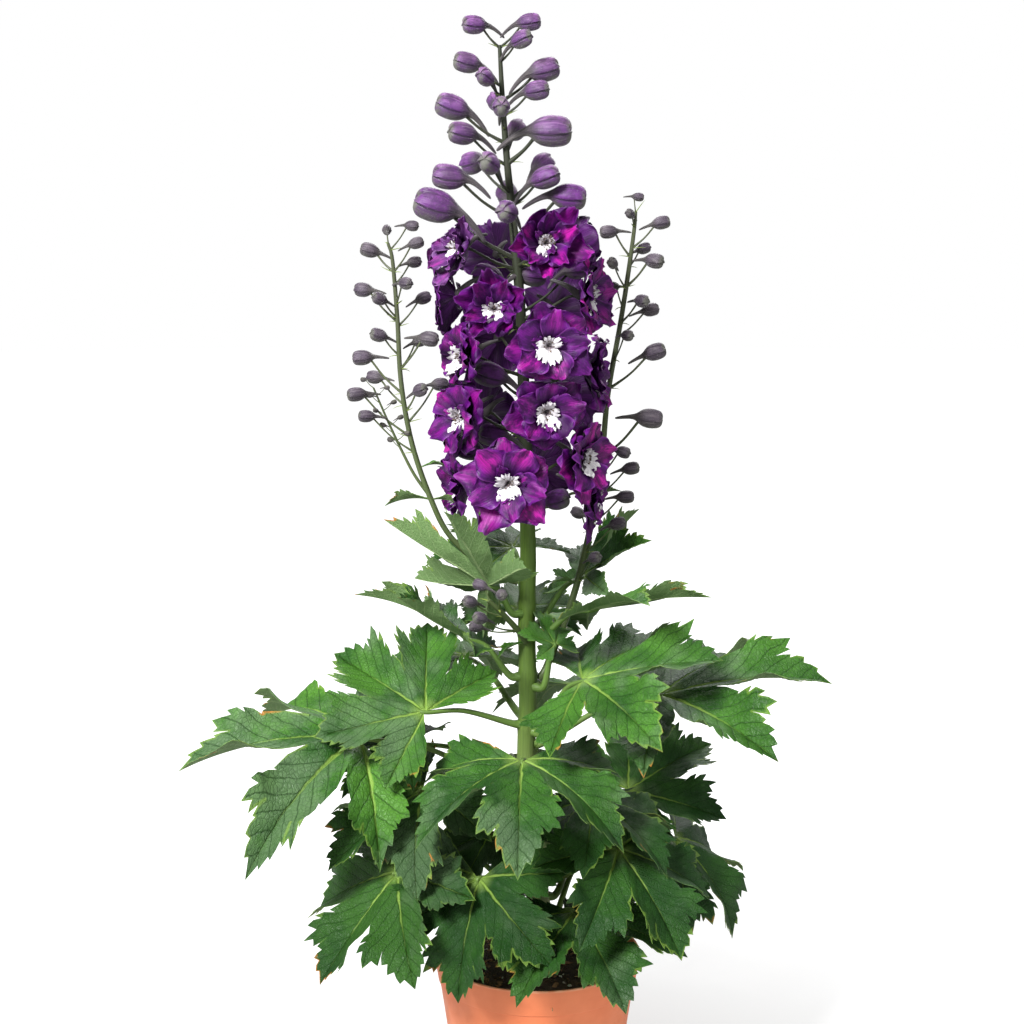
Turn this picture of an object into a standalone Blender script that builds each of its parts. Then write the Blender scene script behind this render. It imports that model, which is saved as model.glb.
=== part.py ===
"""A potted delphinium: one flower spike with two side sprays, in a round pot of soil.

Metres, +Z up. The origin is the centre of the pot's underside, and the front of the plant faces -Y.
"""

import math
import random

import bmesh
import bpy
from mathutils import Matrix, Vector

# Driving dimensions of the pot
POT_HEIGHT = 0.118
POT_RIM_RADIUS = 0.076
POT_WALL = 0.002
POT_FLOOR = 0.003
COLLAR_HEIGHT = 0.020
COLLAR_STEP = 0.0012
COLLAR_UNDERCUT = 0.0012
WALL_TAPER = math.radians(8.2)
RIM_ROUND = 0.0006
FOOT_ROUND = 0.0015
DRAIN_HOLES = 4
DRAIN_HOLE_RADIUS = 0.004
DRAIN_HOLE_REACH = 0.036

# The soil: its depth below the rim, its clearance inside the wall, its mound as (radius, rise) from
# the stem outwards, how far its edge is rounded off, and its lumps' height and sideways shift
SOIL_BELOW_RIM = 0.011
SOIL_CLEARANCE = 0.0009
SOIL_MOUND = ((0.024, 0.002), (0.044, 0.0), (0.060, -0.001))
SOIL_AT_STEM = 0.003
SOIL_EDGE = 0.001
SOIL_EDGE_DEPTH = 0.003
SOIL_LUMPS = (0.0016, 0.002)

# Clearance between two pieces that touch
GAP = 0.0003

# A closed bud, in shares of its length: its width, how much wider its front is than its back, how far
# back its spur reaches, the seat of its stalk behind and below its middle, and the stalk's half width
BUD_SLIMNESS = 0.56
BUD_FRONT = 0.16
BUD_SPUR = 1.10
BUD_SEAT = (0.22, 0.06)
BUD_STALK = 0.05

# How far a bud's nose is lifted, as the rise over the reach of its axis
BUD_LIFT = 0.15

# How far a bud's spur drops below its axis, in shares of its length, on the spike and on the sprays
SPIKE_SPUR_DROP = 0.42
SPRAY_SPUR_DROP = 0.12

# How far below a bud its stalk leaves the stem, as a share of the bud's reach from the stem
SPIKE_BRANCHING = 0.45
SPRAY_BRANCHING = 0.9

# How far above a spray's foot its lowest bud leaves it, and how far below a stem's tip the highest does
SPRAY_BARE_FOOT = 0.010
SPRAY_TIP = 0.001
SPIKE_TIP = 0.002

# A floret's heart: (distance along the floret's axis, radius) of its seat on the stalk, of the back
# and front of each ring of sepals, and of the pale ruffled tuft in the middle; and its spur:
# (distance along the axis, height above it, half width) midway and at the tip
SEAT = (-0.0028, 0.0019)
OUTER_RING = ((-0.0006, 0.0036), (0.0004, 0.0036))
INNER_RING = ((0.0020, 0.0032), (0.0030, 0.0030))
TUFT_REACH = 0.0100
TUFT_PIT = 0.0036
TUFT_FLARE = 0.0036
SPUR = ((-0.0100, 0.0075, 0.0018), (-0.0225, 0.0125, 0.0008))
SEPALS_IN_RING = 5
INNER_SIZE = 0.76
INNER_OPENING = 0.72

# How much the sepals of one floret differ: the range of their size, and of their opening in degrees
SEPAL_SIZES = (0.92, 1.05)
SEPAL_SWING = 3.0

# A sepal's outline as shares of its length: along, across, and lift towards the floret's front. One
# long edge is lifted over the neighbouring sepal, the other is tucked under, and the last is its middle
SEPAL_POINTS = (
    (0.60, -0.38, -0.07),
    (0.86, -0.29, -0.04),
    (1.00, 0.02, 0.00),
    (0.86, 0.31, 0.09),
    (0.60, 0.38, 0.11),
    (0.58, 0.00, -0.01),
)

# The stalk of a floret: its half width at its foot, its bend and its end, and how far back the bend is
FLORET_STALK = (0.0012, 0.0010, 0.0011)
STALK_END = 0.007

# The room that sepals leave: to the plane between two florets, to a spray's stem and its stalks, to a
# bud as a share of its length, to a spike bud's spur, and how far past its sepals a floret looks
CELL_MARGIN = 0.0007
STALK_ROOM = 0.002
BUD_ROOM = 0.6
SPUR_ROOM = 0.005
CELL_REACH = 0.02

# Thickness of leaf blades and sepals
LEAF_THICKNESS = 0.0009
SEPAL_THICKNESS = 0.0007

# The main stem: (x, height, radius), from its foot in the soil to the top of the spike
STEM_ROUTE = (
    (0.000, 0.080, 0.0076),
    (0.000, 0.113, 0.0076),
    (0.003, 0.144, 0.0072),
    (-0.003, 0.200, 0.0070),
    (-0.008, 0.262, 0.0069),
    (-0.007, 0.307, 0.0068),
    (-0.008, 0.366, 0.0064),
    (-0.007, 0.410, 0.0060),
    (-0.008, 0.454, 0.0054),
    (-0.010, 0.525, 0.0046),
    (-0.013, 0.595, 0.0038),
    (-0.018, 0.650, 0.0031),
    (-0.022, 0.691, 0.0025),
    (-0.025, 0.731, 0.0020),
    (-0.027, 0.768, 0.0014),
)

# Closed buds of the main spike: (x, y, height, length)
SPIKE_BUDS = (
    (-0.043, -0.004, 0.781, 0.019),
    (-0.008, 0.000, 0.783, 0.018),
    (-0.013, -0.012, 0.770, 0.018),
    (-0.048, 0.000, 0.756, 0.021),
    (-0.036, -0.013, 0.745, 0.018),
    (0.002, 0.000, 0.751, 0.024),
    (-0.003, -0.006, 0.737, 0.020),
    (-0.058, 0.000, 0.726, 0.026),
    (-0.026, -0.020, 0.725, 0.020),
    (-0.030, 0.014, 0.731, 0.019),
    (0.006, -0.008, 0.710, 0.032),
    (-0.051, -0.010, 0.708, 0.023),
    (-0.033, -0.024, 0.687, 0.022),
    (-0.060, -0.008, 0.679, 0.026),
    (0.003, -0.012, 0.678, 0.023),
    (0.019, -0.003, 0.666, 0.027),
    (-0.069, -0.006, 0.659, 0.034),
    (-0.021, -0.032, 0.655, 0.023),
    (-0.016, 0.022, 0.712, 0.022),
    (-0.045, 0.022, 0.690, 0.024),
    (0.002, 0.024, 0.688, 0.024),
    (-0.022, 0.032, 0.668, 0.026),
)

# Florets: (name, height, azimuth, reach from the stem, facing azimuth, facing elevation,
# sepal length, opening from the axis), angles in degrees
BLOOMS = (
    ("bloom_01", 0.473, 256, 0.050, 267, 4, 0.038, 80),
    ("bloom_02", 0.566, 291, 0.050, 275, 2, 0.035, 78),
    ("bloom_03", 0.590, 247, 0.044, 262, 8, 0.029, 56),
    ("bloom_04", 0.634, 300, 0.041, 278, 10, 0.030, 58),
    ("bloom_05", 0.631, 202, 0.040, 222, 8, 0.031, 54),
    ("bloom_06", 0.598, 172, 0.045, 162, -4, 0.034, 72),
    ("bloom_07", 0.598, 338, 0.046, 338, 4, 0.033, 72),
    ("bloom_08", 0.556, 199, 0.040, 206, 4, 0.033, 74),
    ("bloom_09", 0.545, 350, 0.044, 350, 2, 0.034, 74),
    ("bloom_10", 0.516, 208, 0.046, 214, 0, 0.034, 76),
    ("bloom_11", 0.521, 288, 0.044, 285, 0, 0.034, 76),
    ("bloom_12", 0.487, 318, 0.048, 325, 2, 0.034, 76),
    ("bloom_13", 0.458, 350, 0.042, 350, -6, 0.031, 74),
    ("bloom_14", 0.632, 10, 0.040, 15, 8, 0.029, 58),
    ("bloom_15", 0.586, 56, 0.044, 56, 2, 0.034, 74),
    ("bloom_16", 0.626, 110, 0.040, 108, 8, 0.030, 58),
    ("bloom_17", 0.566, 112, 0.046, 112, 0, 0.035, 76),
    ("bloom_18", 0.528, 52, 0.046, 52, -2, 0.035, 76),
    ("bloom_19", 0.512, 128, 0.046, 130, 0, 0.035, 78),
    ("bloom_20", 0.472, 82, 0.046, 82, -4, 0.035, 78),
    ("bloom_21", 0.463, 186, 0.042, 192, -6, 0.032, 74),
)

# Leaves: (name, height of the stalk's foot, azimuth, reach of the blade's hub, height of the hub,
# heading of the middle lobe, its elevation, roll about it, length of the middle lobe, droop),
# angles in degrees
LEAVES = (
    ("leaf_01", 0.372, 211, 0.032, 0.395, 172, 32, 40, 0.088, 10),
    ("leaf_02", 0.382, 104, 0.044, 0.412, 134, 14, -6, 0.072, 25),
    ("leaf_03", 0.325, 188, 0.042, 0.354, 168, 28, 14, 0.088, 10),
    ("leaf_04", 0.290, 203, 0.079, 0.307, 152, 26, -36, 0.086, 10),
    ("leaf_05", 0.240, 191, 0.122, 0.286, 186, 8, -22, 0.138, 45),
    ("leaf_06", 0.255, 168, 0.088, 0.270, 170, -3, -10, 0.074, 25),
    ("leaf_07", 0.200, 202, 0.080, 0.250, 204, -24, -12, 0.090, 30),
    ("leaf_08", 0.150, 207, 0.108, 0.196, 208, -44, -8, 0.096, 20),
    ("leaf_09", 0.140, 242, 0.082, 0.200, 244, -58, 0, 0.085, 15),
    ("leaf_10", 0.245, 266, 0.058, 0.280, 268, -10, 0, 0.104, 35),
    ("leaf_11", 0.285, 322, 0.049, 0.330, 344, 18, 18, 0.102, 20),
    ("leaf_12", 0.275, 354, 0.096, 0.314, 356, 16, 10, 0.122, 20),
    ("leaf_13", 0.355, 350, 0.046, 0.376, 352, 16, -14, 0.086, 10),
    ("leaf_14", 0.362, 40, 0.054, 0.392, 34, 48, -14, 0.068, 10),
    ("leaf_15", 0.215, 18, 0.077, 0.232, 26, 24, 30, 0.080, 10),
    ("leaf_16", 0.190, 313, 0.088, 0.218, 312, -34, 2, 0.088, 25),
    ("leaf_17", 0.170, 358, 0.104, 0.205, 346, -40, 10, 0.086, 33),
    ("leaf_18", 0.135, 294, 0.064, 0.170, 292, -16, 6, 0.090, 23),
    ("leaf_19", 0.180, 223, 0.040, 0.217, 236, -34, -2, 0.058, 20),
    ("leaf_20", 0.225, 318, 0.060, 0.246, 320, -15, 0, 0.078, 30),
    ("leaf_21", 0.265, 64, 0.083, 0.300, 60, -6, 0, 0.094, 40),
    ("leaf_22", 0.225, 98, 0.091, 0.240, 96, -24, 0, 0.092, 40),
    ("leaf_23", 0.295, 128, 0.074, 0.326, 124, 2, 0, 0.088, 40),
    ("leaf_24", 0.165, 62, 0.092, 0.192, 58, -40, 0, 0.086, 30),
    ("leaf_25", 0.150, 146, 0.092, 0.186, 150, -42, 0, 0.086, 30),
    ("leaf_26", 0.335, 96, 0.054, 0.363, 82, 16, 0, 0.070, 30),
)

# Side sprays: the route of each stem, as (x, y, height, radius), and its buds, as
# (x, y, height, length)
LEFT_ROUTE = (
    (-0.0145, -0.002, 0.394, 0.0016),
    (-0.036, -0.004, 0.404, 0.0016),
    (-0.062, -0.006, 0.428, 0.0015),
    (-0.076, -0.008, 0.456, 0.0015),
    (-0.089, -0.009, 0.496, 0.0014),
    (-0.096, -0.010, 0.539, 0.0013),
    (-0.098, -0.010, 0.581, 0.0012),
    (-0.101, -0.010, 0.622, 0.0010),
    (-0.104, -0.010, 0.634, 0.0008),
)
LEFT_BUDS = (
    (-0.105, -0.006, 0.643, 0.011),
    (-0.088, -0.014, 0.646, 0.011),
    (-0.116, -0.006, 0.629, 0.015),
    (-0.085, -0.016, 0.634, 0.012),
    (-0.087, -0.004, 0.621, 0.012),
    (-0.092, -0.022, 0.607, 0.013),
    (-0.121, -0.004, 0.602, 0.015),
    (-0.109, -0.018, 0.596, 0.013),
    (-0.081, -0.004, 0.596, 0.013),
    (-0.110, -0.016, 0.571, 0.014),
    (-0.084, 0.004, 0.566, 0.013),
    (-0.077, -0.018, 0.569, 0.016),
    (-0.122, -0.004, 0.555, 0.016),
    (-0.083, -0.018, 0.533, 0.014),
    (-0.070, -0.002, 0.536, 0.014),
    (-0.126, -0.012, 0.530, 0.015),
    (-0.114, -0.002, 0.541, 0.014),
    (-0.119, -0.016, 0.515, 0.013),
)
RIGHT_ROUTE = (
    (0.0005, 0.002, 0.322, 0.0019),
    (0.008, 0.006, 0.334, 0.0019),
    (0.028, 0.014, 0.388, 0.0018),
    (0.044, 0.020, 0.462, 0.0016),
    (0.050, 0.022, 0.525, 0.0014),
    (0.058, 0.020, 0.574, 0.0013),
    (0.063, 0.016, 0.609, 0.0012),
    (0.067, 0.012, 0.642, 0.0010),
    (0.068, 0.010, 0.656, 0.0008),
)
RIGHT_BUDS = (
    (0.069, 0.010, 0.666, 0.009),
    (0.064, 0.004, 0.654, 0.010),
    (0.085, 0.010, 0.648, 0.014),
    (0.050, 0.008, 0.642, 0.014),
    (0.080, 0.004, 0.622, 0.016),
    (0.074, 0.022, 0.630, 0.012),
    (0.052, 0.002, 0.620, 0.012),
    (0.054, 0.028, 0.603, 0.012),
    (0.072, 0.006, 0.594, 0.014),
    (0.079, 0.020, 0.587, 0.014),
    (0.062, 0.002, 0.570, 0.012),
    (0.082, 0.018, 0.557, 0.018),
    (0.078, 0.010, 0.511, 0.021),
    (0.060, 0.008, 0.487, 0.013),
    (0.066, 0.016, 0.474, 0.014),
    (0.030, 0.026, 0.440, 0.013),
    (0.062, 0.012, 0.454, 0.014),
    (0.056, 0.002, 0.436, 0.014),
    (0.040, -0.002, 0.412, 0.013),
)
LOW_ROUTE = (
    (-0.0085, -0.0073, 0.352, 0.0017),
    (-0.014, -0.016, 0.362, 0.0016),
    (-0.026, -0.028, 0.378, 0.0014),
    (-0.035, -0.034, 0.388, 0.0012),
)
LOW_BUDS = (
    (-0.040, -0.032, 0.398, 0.012),
    (-0.026, -0.044, 0.394, 0.012),
    (-0.047, -0.040, 0.388, 0.013),
    (-0.040, -0.048, 0.378, 0.013),
    (-0.043, -0.030, 0.368, 0.012),
)

# Cut outline of a leaf lobe, half of it, as shares of the lobe's length: along and across
MAIN_LOBE = {
    "ribs": (0.42, 0.74),
    "edge": ((0.62, 0.26), (0.70, 0.15), (0.85, 0.19), (0.87, 0.09)),
}
BASAL_LOBE = {"ribs": (0.50,), "edge": ((0.66, 0.27), (0.75, 0.13))}
LOBES = (
    (-104, 0.76, BASAL_LOBE),
    (-52, 0.94, MAIN_LOBE),
    (0, 1.00, MAIN_LOBE),
    (52, 0.94, MAIN_LOBE),
    (104, 0.76, BASAL_LOBE),
)
SINUS_DEPTH = 0.36
HUB_WIDTH = 0.0028

# The blade's folds: the angle between two lobes, how far a lobe is folded up along its rib, and how
# deep the waves of the whole blade are, in shares of its length
LOBE_SPACING = math.radians(52)
LEAF_FOLD = 0.16
LEAF_WAVE = 0.05

# A leaf's stalk: half its width at its foot, at its knee and midway, how far the knee lies out and up
# from the foot, where the middle lies between knee and hub, and how far it arches up there
STALK_HALF_WIDTHS = (0.0026, 0.0018, 0.0014)
STALK_KNEE = (0.007, 0.002)
STALK_MIDDLE = 0.55
STALK_ARCH = (0.16, 0.002)

COLOURS = {
    "terracotta": ((0.80, 0.33, 0.18), 0.55),
    "soil": ((0.035, 0.022, 0.015), 0.95),
    "green stem": ((0.12, 0.22, 0.06), 0.55),
    "leaf": ((0.045, 0.17, 0.035), 0.45),
    "sepal": ((0.10, 0.008, 0.20), 0.50),
    "bee": ((0.85, 0.83, 0.84), 0.60),
    "bud": ((0.16, 0.09, 0.30), 0.50),
}


def clear_scene():
    for obj in list(bpy.data.objects):
        bpy.data.objects.remove(obj, do_unlink=True)


def new_collection(name):
    collection = bpy.data.collections.new(name)
    bpy.context.scene.collection.children.link(collection)
    return collection


def material(name):
    """A Principled material with the colour and roughness of that part of the plant."""
    found = bpy.data.materials.get(name)
    if found:
        return found
    colour, roughness = COLOURS[name]
    made = bpy.data.materials.new(name)
    made.use_nodes = True
    shader = made.node_tree.nodes["Principled BSDF"]
    shader.inputs["Base Color"].default_value = (*colour, 1.0)
    shader.inputs["Roughness"].default_value = roughness
    shader.inputs["Metallic"].default_value = 0.0
    return made


def add_object(name, mesh, finish):
    obj = bpy.data.objects.new(name, mesh)
    PARTS.objects.link(obj)
    if not mesh.materials:
        mesh.materials.append(material(finish))
    return obj


def evaluated_copy(obj):
    """The object's mesh with its modifiers applied, placed in the world."""
    graph = bpy.context.evaluated_depsgraph_get()
    mesh = bpy.data.meshes.new_from_object(obj.evaluated_get(graph))
    mesh.transform(obj.matrix_world)
    return mesh


def tube(name, route, radii, finish, sides=4):
    """A round stem along a route: a curve with filled caps, made a mesh."""
    curve = bpy.data.curves.new(name, "CURVE")
    curve.dimensions = "3D"
    curve.fill_mode = "FULL"
    curve.bevel_depth = 1.0
    curve.bevel_resolution = (sides - 4) // 2
    curve.use_fill_caps = True
    spline = curve.splines.new("POLY")
    spline.points.add(len(route) - 1)
    for point, place, radius in zip(spline.points, route, radii):
        point.co = (*place, 1.0)
        point.radius = radius
    guide = bpy.data.objects.new(name + "_route", curve)
    PARTS.objects.link(guide)
    mesh = evaluated_copy(guide)
    bpy.data.objects.remove(guide, do_unlink=True)
    work = bmesh.new()
    work.from_mesh(mesh)
    bmesh.ops.remove_doubles(work, verts=work.verts, dist=0.00001)
    bmesh.ops.recalc_face_normals(work, faces=work.faces)
    work.to_mesh(mesh)
    work.free()
    mesh.materials.clear()
    return add_object(name, mesh, finish)


def join(base, pieces):
    """Joins the pieces onto the base with one Boolean union, and removes them."""
    group = new_collection(base.name + "_pieces")
    for piece in pieces:
        PARTS.objects.unlink(piece)
        group.objects.link(piece)
    union = base.modifiers.new("join", "BOOLEAN")
    union.operation = "UNION"
    union.operand_type = "COLLECTION"
    union.collection = group
    union.solver = "EXACT"
    union.material_mode = "TRANSFER"
    mesh = evaluated_copy(base)
    base.modifiers.clear()
    base.data = mesh
    for piece in pieces:
        bpy.data.objects.remove(piece, do_unlink=True)
    bpy.data.collections.remove(group)


def walled_sheet(work, points, triangles, thickness, given, open_edge):
    """A thin blade: a sheet of triangles with a front, a back and a rim, open at one edge of it.

    The corners in given already have their front and back vertices.
    """
    normals = [Vector() for _ in points]
    for a, b, c in triangles:
        way = (points[b] - points[a]).cross(points[c] - points[a])
        for corner in (a, b, c):
            normals[corner] += way
    front = {}
    back = {}
    for index, point in enumerate(points):
        if index in given:
            front[index], back[index] = given[index]
        else:
            offset = normals[index].normalized() * (thickness / 2)
            front[index] = work.verts.new(point + offset)
            back[index] = work.verts.new(point - offset)
    edges = set()
    for a, b, c in triangles:
        work.faces.new((front[a], front[b], front[c]))
        work.faces.new((back[c], back[b], back[a]))
        edges |= {(a, b), (b, c), (c, a)}
    for a, b in sorted(edges):
        if (b, a) not in edges and {a, b} != set(open_edge):
            work.faces.new((front[b], front[a], back[a]))
            work.faces.new((front[b], back[a], back[b]))
    return front, back


def band(work, low, high):
    """Closes the band between two loops of equally many vertices."""
    count = len(low)
    faces = []
    for index in range(count):
        after = (index + 1) % count
        faces.append(work.faces.new((low[index], low[after], high[index])))
        faces.append(work.faces.new((low[after], high[after], high[index])))
    return faces


def finished(name, work, finishes):
    """The object made of a closed bmesh, its faces turned outwards."""
    bmesh.ops.recalc_face_normals(work, faces=work.faces)
    if work.calc_volume(signed=True) < 0:
        bmesh.ops.reverse_faces(work, faces=work.faces)
    mesh = bpy.data.meshes.new(name)
    work.to_mesh(mesh)
    work.free()
    for finish in finishes:
        mesh.materials.append(material(finish))
    return add_object(name, mesh, finishes[0])


def turned(name, profile, steps, finish):
    """A turned solid: its profile screwed round the upright axis."""
    mesh = bpy.data.meshes.new(name)
    mesh.from_pydata([(x, 0.0, z) for x, z in profile], [(i, i + 1) for i in range(len(profile) - 1)], [])
    obj = add_object(name, mesh, finish)
    screw = obj.modifiers.new("turn", "SCREW")
    screw.steps = steps
    screw.render_steps = steps
    screw.use_merge_vertices = True
    screw.merge_threshold = 0.00001
    return obj


def shade_smooth(obj, angle=math.radians(40)):
    obj.data.shade_smooth()
    obj.data.set_sharp_from_angle(angle=angle)


def between(table, key, column, value):
    """The value of one column of a route at a given height, read along straight lines."""
    rows = list(table)
    if value <= rows[0][key]:
        return rows[0][column]
    for low, high in zip(rows, rows[1:]):
        if value <= high[key]:
            share = (value - low[key]) / (high[key] - low[key])
            return low[column] + (high[column] - low[column]) * share
    return rows[-1][column]


def stem_point(height):
    return Vector((between(STEM_ROUTE, 1, 0, height), 0.0, height))


def stem_radius(height):
    return between(STEM_ROUTE, 1, 2, height)


def around(azimuth):
    angle = math.radians(azimuth)
    return Vector((math.cos(angle), math.sin(angle), 0.0))


def wall_radius(height):
    """Outer radius of the pot's wall below its collar."""
    collar_bottom = POT_HEIGHT - COLLAR_HEIGHT
    top = POT_RIM_RADIUS - COLLAR_HEIGHT * math.tan(WALL_TAPER) - COLLAR_STEP
    return top - (collar_bottom - height) * math.tan(WALL_TAPER)


def make_pot():
    collar_bottom = POT_HEIGHT - COLLAR_HEIGHT
    collar_radius = POT_RIM_RADIUS - COLLAR_HEIGHT * math.tan(WALL_TAPER)
    inner_floor = wall_radius(POT_FLOOR) - POT_WALL
    inner_rim = POT_RIM_RADIUS - POT_WALL
    profile = (
        (0.0, POT_FLOOR),
        (inner_floor, POT_FLOOR),
        (inner_rim, POT_HEIGHT - RIM_ROUND),
        (inner_rim + RIM_ROUND, POT_HEIGHT),
        (POT_RIM_RADIUS - RIM_ROUND, POT_HEIGHT),
        (POT_RIM_RADIUS, POT_HEIGHT - RIM_ROUND),
        (collar_radius, collar_bottom),
        (wall_radius(collar_bottom), collar_bottom - COLLAR_UNDERCUT),
        (wall_radius(FOOT_ROUND), FOOT_ROUND),
        (wall_radius(0.0) - FOOT_ROUND, 0.0),
        (0.0, 0.0),
    )
    pot = turned("pot", profile, 24, "terracotta")
    pot.data = evaluated_copy(pot)
    pot.modifiers.clear()
    for turn in range(DRAIN_HOLES):
        place = DRAIN_HOLE_REACH * around((turn + 0.5) * 360 / DRAIN_HOLES)
        bpy.ops.mesh.primitive_cylinder_add(
            vertices=8, radius=DRAIN_HOLE_RADIUS, depth=4 * POT_FLOOR, location=place
        )
        drill = bpy.context.object
        drill.name = f"drain_hole_{turn + 1}"
        for owner in list(drill.users_collection):
            owner.objects.unlink(drill)
        CUTTERS.objects.link(drill)
        drill.hide_render = True
        drill.display_type = "WIRE"
        cut = pot.modifiers.new(drill.name, "BOOLEAN")
        cut.operation = "DIFFERENCE"
        cut.object = drill
    shade_smooth(pot)


def make_soil():
    """A turned plug of soil with a lumpy top and a plain hole for the stem's foot."""
    rng = random.Random(3)
    top = POT_HEIGHT - SOIL_BELOW_RIM
    bottom = POT_FLOOR + GAP
    foot = STEM_ROUTE[0]
    hole = foot[2] + GAP
    hole_bottom = foot[1] - GAP

    def inside(height):
        inner_floor = wall_radius(POT_FLOOR) - POT_WALL
        inner_rim = POT_RIM_RADIUS - POT_WALL
        share = (height - POT_FLOOR) / (POT_HEIGHT - RIM_ROUND - POT_FLOOR)
        return inner_floor + (inner_rim - inner_floor) * share - SOIL_CLEARANCE

    profile = (
        (0.0, hole_bottom),
        (hole, hole_bottom),
        (hole, top + SOIL_AT_STEM),
        *[(radius, top + rise) for radius, rise in SOIL_MOUND],
        (inside(top) - SOIL_EDGE, top - SOIL_EDGE),
        (inside(top - SOIL_EDGE_DEPTH), top - SOIL_EDGE_DEPTH),
        (inside(bottom), bottom),
        (0.0, bottom),
    )
    soil = turned("soil", profile, 24, "soil")
    mesh = evaluated_copy(soil)
    soil.modifiers.clear()
    soil.data = mesh
    lump, shift = SOIL_LUMPS
    for vertex in mesh.vertices:
        reach = math.hypot(vertex.co.x, vertex.co.y)
        if vertex.co.z > top - SOIL_EDGE_DEPTH and hole + shift < reach < inside(top) - 2 * shift:
            vertex.co.z += rng.uniform(-lump, lump)
            vertex.co.x += rng.uniform(-shift, shift)
            vertex.co.y += rng.uniform(-shift, shift)
    shade_smooth(soil)


def tapered(name, start, end, radii, sides, finish):
    """A straight tapered stalk or spur, from start to end."""
    work = bmesh.new()
    way = end - start
    bmesh.ops.create_cone(
        work, cap_ends=True, segments=sides, radius1=radii[0], radius2=radii[1], depth=way.length
    )
    turn = way.to_track_quat("Z", "Y").to_matrix().to_4x4()
    bmesh.ops.transform(work, matrix=Matrix.Translation((start + end) / 2) @ turn, verts=work.verts)
    return finished(name, work, (finish,))


def bud_pieces(name, centre, length, root, drop, sides, rings):
    """A closed bud, drawn out behind into its drooping spur, and the stalk that carries it."""
    out = Vector((centre.x - root.x, centre.y - root.y, 0.0)).normalized()
    out = (out + Vector((0.0, 0.0, BUD_LIFT))).normalized()
    turn = out.to_track_quat("Z", "Y").to_matrix().to_4x4()
    up = turn.inverted().to_3x3() @ Vector((0.0, 0.0, 1.0))
    work = bmesh.new()
    bmesh.ops.create_uvsphere(work, u_segments=sides, v_segments=rings, radius=1.0)
    for vertex in work.verts:
        along = vertex.co.z
        width = BUD_SLIMNESS * length * (1.0 + BUD_FRONT * along) / 2
        place = Vector((vertex.co.x * width, vertex.co.y * width, along * length / 2))
        if along < -0.99:
            place = Vector((0.0, 0.0, -BUD_SPUR * length)) - up * (drop * length)
        vertex.co = place
    bmesh.ops.transform(work, matrix=Matrix.Translation(centre) @ turn, verts=work.verts)
    seat = centre - out * (BUD_SEAT[0] * length) - Vector((0.0, 0.0, BUD_SEAT[1] * length))
    slim = BUD_STALK * length
    return [
        finished(name, work, ("bud",)),
        tapered(name + "_stalk", root, seat, (1.2 * slim, slim), 3, "green stem"),
    ]


def route_point(route, height):
    return Vector([between(route, 2, column, height) for column in (0, 1)] + [height])


def spray_root(route, place):
    """Where the stalk of a spray's bud leaves the spray's stem."""
    x, y, height = place
    reach = math.hypot(x - between(route, 2, 0, height), y - between(route, 2, 1, height))
    lowest = route[0][2] + SPRAY_BARE_FOOT
    highest = route[-1][2] - SPRAY_TIP
    return route_point(route, min(max(height - SPRAY_BRANCHING * reach - STALK_ROOM, lowest), highest))


def spike_root(place):
    """Where the stalk of a bud of the spike leaves the main stem."""
    x, y, height = place
    reach = math.hypot(x - stem_point(height).x, y)
    return stem_point(min(height - SPIKE_BRANCHING * reach, STEM_ROUTE[-1][1] - SPIKE_TIP))


def make_spray(name, route, buds):
    """A side spray: its thin stem with a stalked bud wherever one grows."""
    places = [row[:3] for row in route]
    spray = tube(name, places, [row[3] for row in route], "green stem", sides=6)
    pieces = []
    for number, (x, y, height, length) in enumerate(buds):
        root = spray_root(route, (x, y, height))
        bud = Vector((x, y, height))
        pieces += bud_pieces(f"{name}_bud_{number}", bud, length, root, SPRAY_SPUR_DROP, 5, 3)
    join(spray, pieces)
    shade_smooth(spray)


def bloom_frame(row):
    """The floret's own axes in the world: X is the way it faces, Z leans up."""
    _, height, azimuth, reach, facing, elevation, _, _ = row
    centre = stem_point(height) + reach * around(azimuth)
    turn = Matrix.Rotation(math.radians(facing), 4, "Z")
    turn = turn @ Matrix.Rotation(math.radians(-elevation), 4, "Y")
    return Matrix.Translation(centre) @ turn


def make_main_stem():
    """The upright stem, the stalks of its florets and the closed buds at its top."""
    places = [(x, 0.0, z) for x, z, _ in STEM_ROUTE]
    stem = tube("main_stem", places, [radius for _, _, radius in STEM_ROUTE], "green stem", sides=8)
    pieces = []
    for row in BLOOMS:
        frame = bloom_frame(row)
        end = frame @ Vector((SEAT[0] - GAP, 0.0, 0.0))
        bend = frame @ Vector((SEAT[0] - STALK_END, 0.0, 0.0))
        foot = stem_point(bend.z - SPIKE_BRANCHING * (bend - stem_point(bend.z)).length)
        pieces.append(tube(row[0] + "_stalk", [foot, bend, end], FLORET_STALK, "green stem"))
    for number, (x, y, height, length) in enumerate(SPIKE_BUDS):
        root = spike_root((x, y, height))
        bud = Vector((x, y, height))
        pieces += bud_pieces(f"spike_bud_{number}", bud, length, root, SPIKE_SPUR_DROP, 6, 4)
    join(stem, pieces)
    shade_smooth(stem)


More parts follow.
